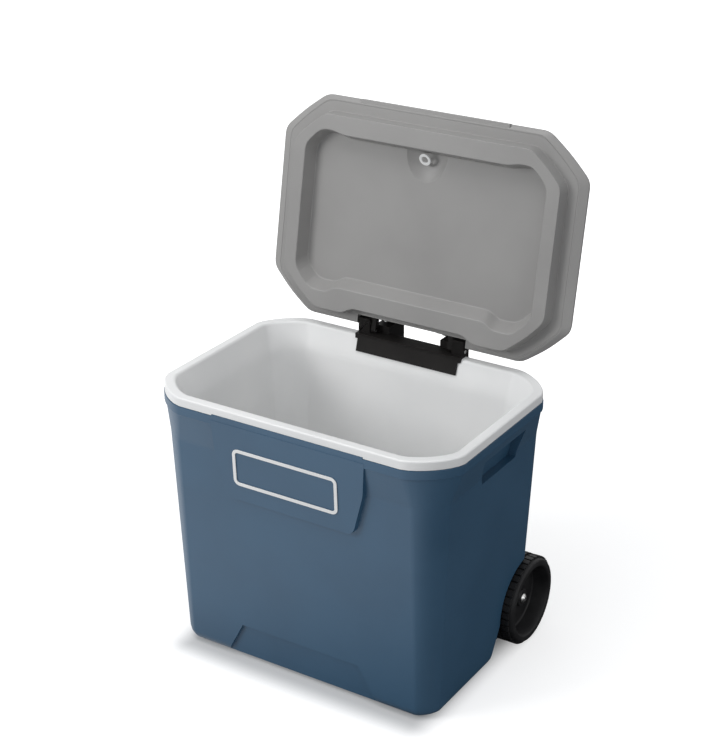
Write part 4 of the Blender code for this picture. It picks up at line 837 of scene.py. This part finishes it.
skirt = [(-0.1, 0.1684, 0.46), (-0.1, 0.1708, 0.46), (-0.1, 0.1791, 0.484), (-0.1, 0.1752, 0.484)]
bracket = carve(
    block((-0.105, 0.1752, 0.4813), (0.105, 0.2048, 0.4908)), slab(skirt, (0.2, 0, 0)),
    block((-0.105, 0.1983, 0.44), (0.105, 0.2048, 0.4843)),
    *[block((side * 0.0935 - 0.0115, 0.1862, rim_top), (side * 0.0935 + 0.0115, 0.2038, 0.5165))
      for side in (-1, 1)],
    *[block((side * tube_across - 0.0146, 0.2015, 0.44), (side * tube_across + 0.0146, 0.2525, 0.503))
      for side in (-1, 1)], operation="UNION")
carve(bracket, *[rod(0.0118, *[on_handle(side * tube_across, 0, along) for along in (-0.2, 0.2)], 64)
                 for side in (-1, 1)])
carve(bracket, *[rod(0.0023, *[(side * across, hinge_line.y, hinge_line.z) for across in (0.07, 0.12)])
                 for side in (-1, 1)])
bracket_screw_x = (-0.096, -0.035, 0.035, 0.096)
carve(bracket, *[rod(0.0023, (x, 0.19, 0.461), (x, 0.22, 0.461), 24) for x in bracket_screw_x])
clean(bracket, 0.0011, segments=3, angle=50)

black_skin = Finish("black_skin", "black_plastic", base_color=(0.0105, 0.0098, 0.0095), roughness=0.42)
black_skin.shader.inputs["Specular IOR Level"].default_value = 0.12
haze = black_skin.noise(9, 3)
black_skin.dapple(haze.between(0.3, 0.7), (0.0085, 0.008, 0.0078), (0.0135, 0.0125, 0.012))
black_skin.sheen(haze * 0.14 + 0.36)
black_skin.bump(black_skin.noise(1100, 3) + black_skin.noise(70, 2) * 0.4, 0.0001)
hand_over(bracket, "rim_saddle", black_skin, "cooler_body", "hinge_bracket")


# The hinge arms. Each is a black nylon arm screwed to the lid, whose eye turns on the pin and
# whose heel lands on the bracket when the lid is fully open.

def from_cad(node, edge, name, finish, body):
    """A piece copied from a CAD piece: its loose triangles are merged and its edges rounded."""
    take(nodes[node])
    bpy.ops.object.duplicate()
    piece = bpy.context.object
    piece.parent = None
    clean(piece, edge, angle=40)
    hand_over(piece, name, finish, body, node)


sides = ((-1, "left"), (1, "right"))
for side, word in sides:
    from_cad("hinge_arm_" + word, 0.0007, "lid_arm_" + word, black_skin, "lid")


# The screws. They are zinc-plated pan-head screws with a cross recess: six hold the bracket
# and the arms, two the grip, two the clamp and four the axle's keepers.

steel_skin = Finish("steel_skin", "steel", base_color=(0.6, 0.6, 0.6), roughness=0.3, metallic=1.0)
grind = steel_skin.noise(260, 4)
steel_skin.dapple(grind, (0.5, 0.5, 0.5), (0.68, 0.68, 0.67))
steel_skin.sheen(grind * 0.2 + 0.2)
steel_skin.bump(steel_skin.noise(1500, 2), 0.00003)

head_height = 0.0022
pan_head = rod(0.0045, (0, 0, 0), (0, 0, head_height), 32)
with_modifier(pan_head, "BEVEL", width=0.0012, segments=4, limit_method="ANGLE")
carve(pan_head, rod(0.002, (0, 0, -0.012), (0, 0, 0.0005), 20), operation="UNION")
carve(pan_head, *[block((-long, -wide, 0.0009), (long, wide, 0.004))
                  for long, wide in ((0.0026, 0.00045), (0.00045, 0.0026))])
clean(pan_head, 0.0001, segments=1)
grip_screw_up = 0.0145
out_of_body = on_handle(0, 1, 0) - on_handle(0, 0, 0)


def drive(place, out, body, node, turned_open=False):
    """Drives a copy of the screw in at a place, with its head facing out."""
    take(pan_head)
    bpy.ops.object.duplicate()
    piece = bpy.context.object
    piece.rotation_euler = Vector(out).to_track_quat("Z", "Y").to_euler()
    piece.location = place
    bpy.ops.object.transform_apply()
    if turned_open:
        swung_open(piece)
    hand_over(piece, node + "_head", steel_skin, body, node)


def screw_place(node):
    """Where the head of a screw in the back stands: the outer end of its CAD piece."""
    low, high = [Vector(nodes[node].bound_box[corner]) for corner in (0, 6)]
    return (low.x + high.x) / 2, high.y - head_height, (low.z + high.z) / 2


for node in [f"{word}_screw_{number}" for word in ("bracket", "keeper") for number in (1, 2, 3, 4)]:
    drive(screw_place(node), (0, 1, 0), "cooler_body", node)
for side, word in sides:
    drive(screw_place("clamp_screw_" + word), (0, 1, 0), "cooler_body", "clamp_screw_" + word)
    drive((side * 0.0587, 0.1731, 0.5036), (0, 1, 0), "lid", "arm_screw_" + word, turned_open=True)
    drive(on_handle(side * tube_across, 0.0128, grip_screw_up), out_of_body, "handle_grip",
          "grip_screw_" + word)
bpy.data.objects.remove(pan_head)


# The hinge pins. They are two steel pins with round heads, pushed in from the ends of the
# bracket through its towers and the arms' eyes.

def turned(profile, start, way, sides=48, closed=True):
    """A turned piece: half its section, as radius and distance along, spun round its axis."""
    points = [Vector((radius, 0, along)) for radius, along in profile]
    line(points + points[:1] * closed)
    bpy.ops.mesh.remove_doubles(threshold=0.00001)
    bpy.ops.mesh.select_all(action="SELECT")
    bpy.ops.mesh.spin(steps=sides, angle=2 * math.pi, center=(0, 0, 0), axis=(0, 0, 1))
    bpy.ops.mesh.select_all(action="SELECT")
    bpy.ops.mesh.remove_doubles(threshold=0.00001)
    piece = outwards()
    piece.rotation_euler = Vector(way).to_track_quat("Z", "Y").to_euler()
    piece.location = start
    bpy.ops.object.transform_apply()
    return piece


for side, word in sides:
    pin = turned(((0, 0.0717), (0.002, 0.0717), (0.002, 0.1053), (0.0032, 0.1053), (0.0032, 0.1057),
                  (0.0026, 0.1062), (0, 0.1064)), hinge_line, (side, 0, 0), 24, closed=False)
    hand_over(pin, "hinge_rod_" + word, steel_skin, "cooler_body", "hinge_pin_" + word)


# The pull handle. Three pairs of steel tubes slide in one another behind the body, the outer
# pair painted black, with nylon bushes in their mouths and plugs on their lower ends.

painted_skin = Finish("painted_skin", "painted_steel", base_color=(0.012, 0.012, 0.012), roughness=0.32)
dust = painted_skin.noise(14, 3)
painted_skin.dapple(dust.between(0.35, 0.7), (0.01, 0.01, 0.01), (0.017, 0.017, 0.018))
painted_skin.sheen(dust * 0.14 + 0.24)
painted_skin.bump(painted_skin.noise(420, 2), 0.00006)

up_tube = on_handle(0, 0, 1) - on_handle(0, 0, 0)
tubes = (("outer", 0.0115, 0.0103, -0.395, 0, painted_skin, "cooler_body"),
         ("middle", 0.0088, 0.0076, -0.3914, 0.0036, steel_skin, "handle_middle"),
         ("inner", 0.0062, 0.005, -0.3798, 0.0215, steel_skin, "handle_grip"))
bushes = (("outer", 0.0115, 0.0091, 0, "cooler_body"), ("middle", 0.0088, 0.0065, 0.0036, "handle_middle"))
plugs = (("middle", 0.0098, 0.0073, -0.3914, "handle_middle"),
         ("inner", 0.0071, 0.0047, -0.3798, "handle_grip"))
for side, word in sides:
    middle = on_handle(side * tube_across, 0, 0)
    for name, outer, inner, low, high, skin, body in tubes:
        tube = turned(((outer, low), (outer, high - 0.0003), (outer - 0.0003, high), (inner + 0.0002, high),
                       (inner, high - 0.0002), (inner, low)), middle, up_tube, 56)
        hand_over(tube, f"{name}_tube_{word}_steel", skin, body, f"{name}_tube_{word}")
    for name, outer, inner, top, body in bushes:
        fit = outer - 0.0015
        bush = turned(((inner, top - 0.016), (inner, top + 0.0028), (inner + 0.0005, top + 0.0033),
                       (outer - 0.0008, top + 0.0033), (outer, top + 0.0025), (outer, top + 0.0003),
                       (fit, top + 0.0003), (fit, top - 0.016)), middle, up_tube)
        hand_over(bush, f"{name}_bush_{word}_ring", black_skin, body, f"{name}_bush_{word}")
    for name, bore, fit, low, body in plugs:
        plug = turned(((0, low - 0.0033), (bore - 0.0006, low - 0.0033), (bore, low - 0.0027),
                       (bore, low - 0.0003), (fit, low - 0.0003), (fit, low + 0.008), (0, low + 0.008)),
                      middle, up_tube, closed=False)
        hand_over(plug, f"{name}_foot_{word}_plug", black_skin, body, f"{name}_foot_{word}")


# The grip. It is a cross bar of black nylon on the two inner tubes, rounded for the hand, with
# a row of shallow finger grooves under it, and one screw behind each tube.

half_long, half_deep, grip_low, grip_high = 0.0875, 0.0125, 0.0075, 0.0335
around = softened([(side * half_long, way * half_deep, 0.0075)
                   for side, way in ((1, 1), (-1, 1), (-1, -1), (1, -1))], 6)


def grip_ring(inset, along):
    """A level section of the grip, in the handle's frame."""
    narrow = ((half_long - inset) / half_long, (half_deep - inset) / half_deep)
    return [on_handle(point.x * narrow[0], point.y * narrow[1], along) for point in around]


grip = drawn(*[grip_ring(*ring) for ring in (
    (0.004, grip_low), (0.0015, grip_low + 0.001), (0, grip_low + 0.004), (0, grip_high - 0.006),
    (0.0012, grip_high - 0.003), (0.004, grip_high - 0.0008), (0.0065, grip_high))])
carve(grip, *[rod(0.012, on_handle(x, -0.02, grip_low - 0.0098), on_handle(x, 0.02, grip_low - 0.0098), 40)
              for x in (-0.036, -0.012, 0.012, 0.036)])
for across in (-tube_across, tube_across):
    carve(grip, rod(0.0065, on_handle(across, 0, -0.01), on_handle(across, 0, 0.0218), 40),
          rod(0.0023, on_handle(across, 0.005, grip_screw_up), on_handle(across, 0.02, grip_screw_up), 24))
clean(grip, 0.0007, angle=40)
hand_over(grip, "grip_bar", black_skin, "handle_grip", "pull_grip")


# The tube clamp. It is a black nylon block screwed to the back of the body, which holds the
# feet of the outer tubes in its two bores.

from_cad("tube_clamp", 0.0016, "foot_clamp", black_skin, "cooler_body")


# The axle. It is a steel rod in a slot of the base, behind two screwed keepers, with a
# washer inside each wheel and a bright push nut outside it.

axle_middle = (0, axle_y, axle_height)
axle = turned(((0, -0.2599), (0.0042, -0.2599), (0.005, -0.2589), (0.005, 0.2589), (0.0042, 0.2599),
               (0, 0.2599)), axle_middle, (1, 0, 0), 40, closed=False)
hand_over(axle, "axle_rod", steel_skin, "cooler_body", "axle")
for side, word in sides:
    from_cad("axle_keeper_" + word, 0.0009, "keeper_" + word, black_skin, "cooler_body")
    washer = turned(((0.0053, 0.222), (0.0102, 0.222), (0.0105, 0.2223), (0.0105, 0.2232), (0.0102, 0.2235),
                     (0.0053, 0.2235)), axle_middle, (side, 0, 0))
    hand_over(washer, "washer_" + word, steel_skin, "cooler_body", "axle_washer_" + word)
    nut = turned(((0.0053, 0.2553), (0.0085, 0.2553), (0.0085, 0.2562), (0.0079, 0.2569), (0.0071, 0.2584),
                  (0.0062, 0.2591), (0.0053, 0.2593)), axle_middle, (side, 0, 0))
    hand_over(nut, "cap_nut_" + word, steel_skin, "cooler_body", "push_nut_" + word)


# The wheels. Each is one moulding of black polyethylene: a deep dish with a hub, and two rows
# of tread lugs round its rim.

tyre_skin = Finish("tyre_skin", "black_plastic", base_color=(0.011, 0.011, 0.012), roughness=0.5)
tyre_skin.shader.inputs["Specular IOR Level"].default_value = 0.22
scuff = tyre_skin.noise(30, 4)
tyre_skin.dapple(scuff.between(0.35, 0.75), (0.0085, 0.0085, 0.0095), (0.017, 0.017, 0.018))
tyre_skin.sheen(scuff * 0.2 + 0.4)
tyre_skin.bump(tyre_skin.noise(900, 3) + tyre_skin.noise(90, 2) * 0.5, 0.00012)

tread = 0.0757
wheel_section = ((0.0055, -0.019), (0.0148, -0.019), (0.016, -0.0202), (0.016, -0.0288), (0.0172, -0.03),
                 (0.0555, -0.03), (0.0578, -0.0278), (0.0606, -0.0105), (0.062, -0.0035), (0.0634, -0.0008),
                 (0.0652, 0), (0.0715, 0), (0.0737, -0.0009), (0.0752, -0.0028), (tread, -0.005),
                 (tread, -0.0215), (tread, -0.0245), (tread, -0.041), (0.0752, -0.0432), (0.0732, -0.046),
                 (0.063, -0.046), (0.0585, -0.036), (0.057, -0.035), (0.016, -0.035), (0.016, -0.0499),
                 (0.0055, -0.0499))
for side, word in sides:
    wheel = turned(wheel_section, (side * wheel_face, axle_y, axle_height), (side, 0, 0), 36)
    bpy.ops.object.mode_set(mode="EDIT")
    for low, high in ((0.005, 0.0215), (0.0245, 0.041)):
        pick(lambda place, face: math.hypot(place.y - axle_y, place.z - axle_height) > tread * 0.99
             and low < abs(side * wheel_face - place.x) < high, "FACE")
        bpy.ops.mesh.inset(thickness=0.0013, use_individual=True)
        bpy.ops.mesh.extrude_faces_move(TRANSFORM_OT_shrink_fatten={"value": 0.0039})
    bpy.ops.object.mode_set(mode="OBJECT")
    with_modifier(wheel, "BEVEL", width=0.0006, segments=2, limit_method="ANGLE",
                  angle_limit=math.radians(38))
    hand_over(wheel, "tyre_" + word, tyre_skin, "wheel_" + word, "wheel_" + word, smooth=30)


# The drain. Its outlet is a white flanged fitting clamped through both walls of the left
# side by a hexagonal nut, on a rubber gasket, with a post beside it for the cap's strap.

rubber_skin = Finish("rubber_skin", "rubber", base_color=(0.02, 0.02, 0.02), roughness=0.7)
bloom = rubber_skin.noise(80, 3)
rubber_skin.dapple(bloom, (0.014, 0.014, 0.014), (0.03, 0.03, 0.03))
rubber_skin.bump(rubber_skin.noise(1400, 2), 0.00008)

drain_start = (drain_seat, drain_y, drain_height)
fitting = turned(((0.009, -0.0636), (0.0115, -0.0636), (0.0115, 0.0026), (0.0204, 0.0026), (0.021, 0.0032),
                  (0.021, 0.005), (0.0204, 0.0056), (0.0125, 0.0056), (0.0125, 0.014), (0.0119, 0.0146),
                  (0.0094, 0.0146), (0.009, 0.0142)), drain_start, (-1, 0, 0), 64)
post_y = -0.0835
post = [rod(radius, (drain_seat - low, post_y, drain_height), (drain_seat - high, post_y, drain_height), 32)
        for radius, low, high in ((0.0044, 0.0026, 0.0056), (0.0022, 0.0029, 0.0203),
                                  (0.0036, 0.0201, 0.0216))]
carve(fitting, block((drain_seat - 0.0056, post_y, drain_height - 0.0044),
                     (drain_seat - 0.0026, -0.0715, drain_height + 0.0044)), *post, operation="UNION")
clean(fitting, 0.0003, angle=50)
hand_over(fitting, "drain_outlet", white_skin, "cooler_body", "drain_fitting")
gasket = turned(((0.0118, 0.0003), (0.0203, 0.0003), (0.0207, 0.0008), (0.0207, 0.0018), (0.0203, 0.0023),
                 (0.0118, 0.0023)), drain_start, (-1, 0, 0), 64)
hand_over(gasket, "drain_washer", rubber_skin, "cooler_body", "drain_gasket")
from_cad("drain_nut", 0.0008, "drain_hex", white_skin, "cooler_body")


# The drain's cap. It is a fluted white screw cap, kept by a rubber strap whose ring turns
# round the cap's neck and whose eye slides on the post.

from_cad("drain_tether", 0.0004, "drain_strap", rubber_skin, "drain_tether")
from_cad("drain_cap", 0.0004, "drain_lid", white_skin, "drain_cap")
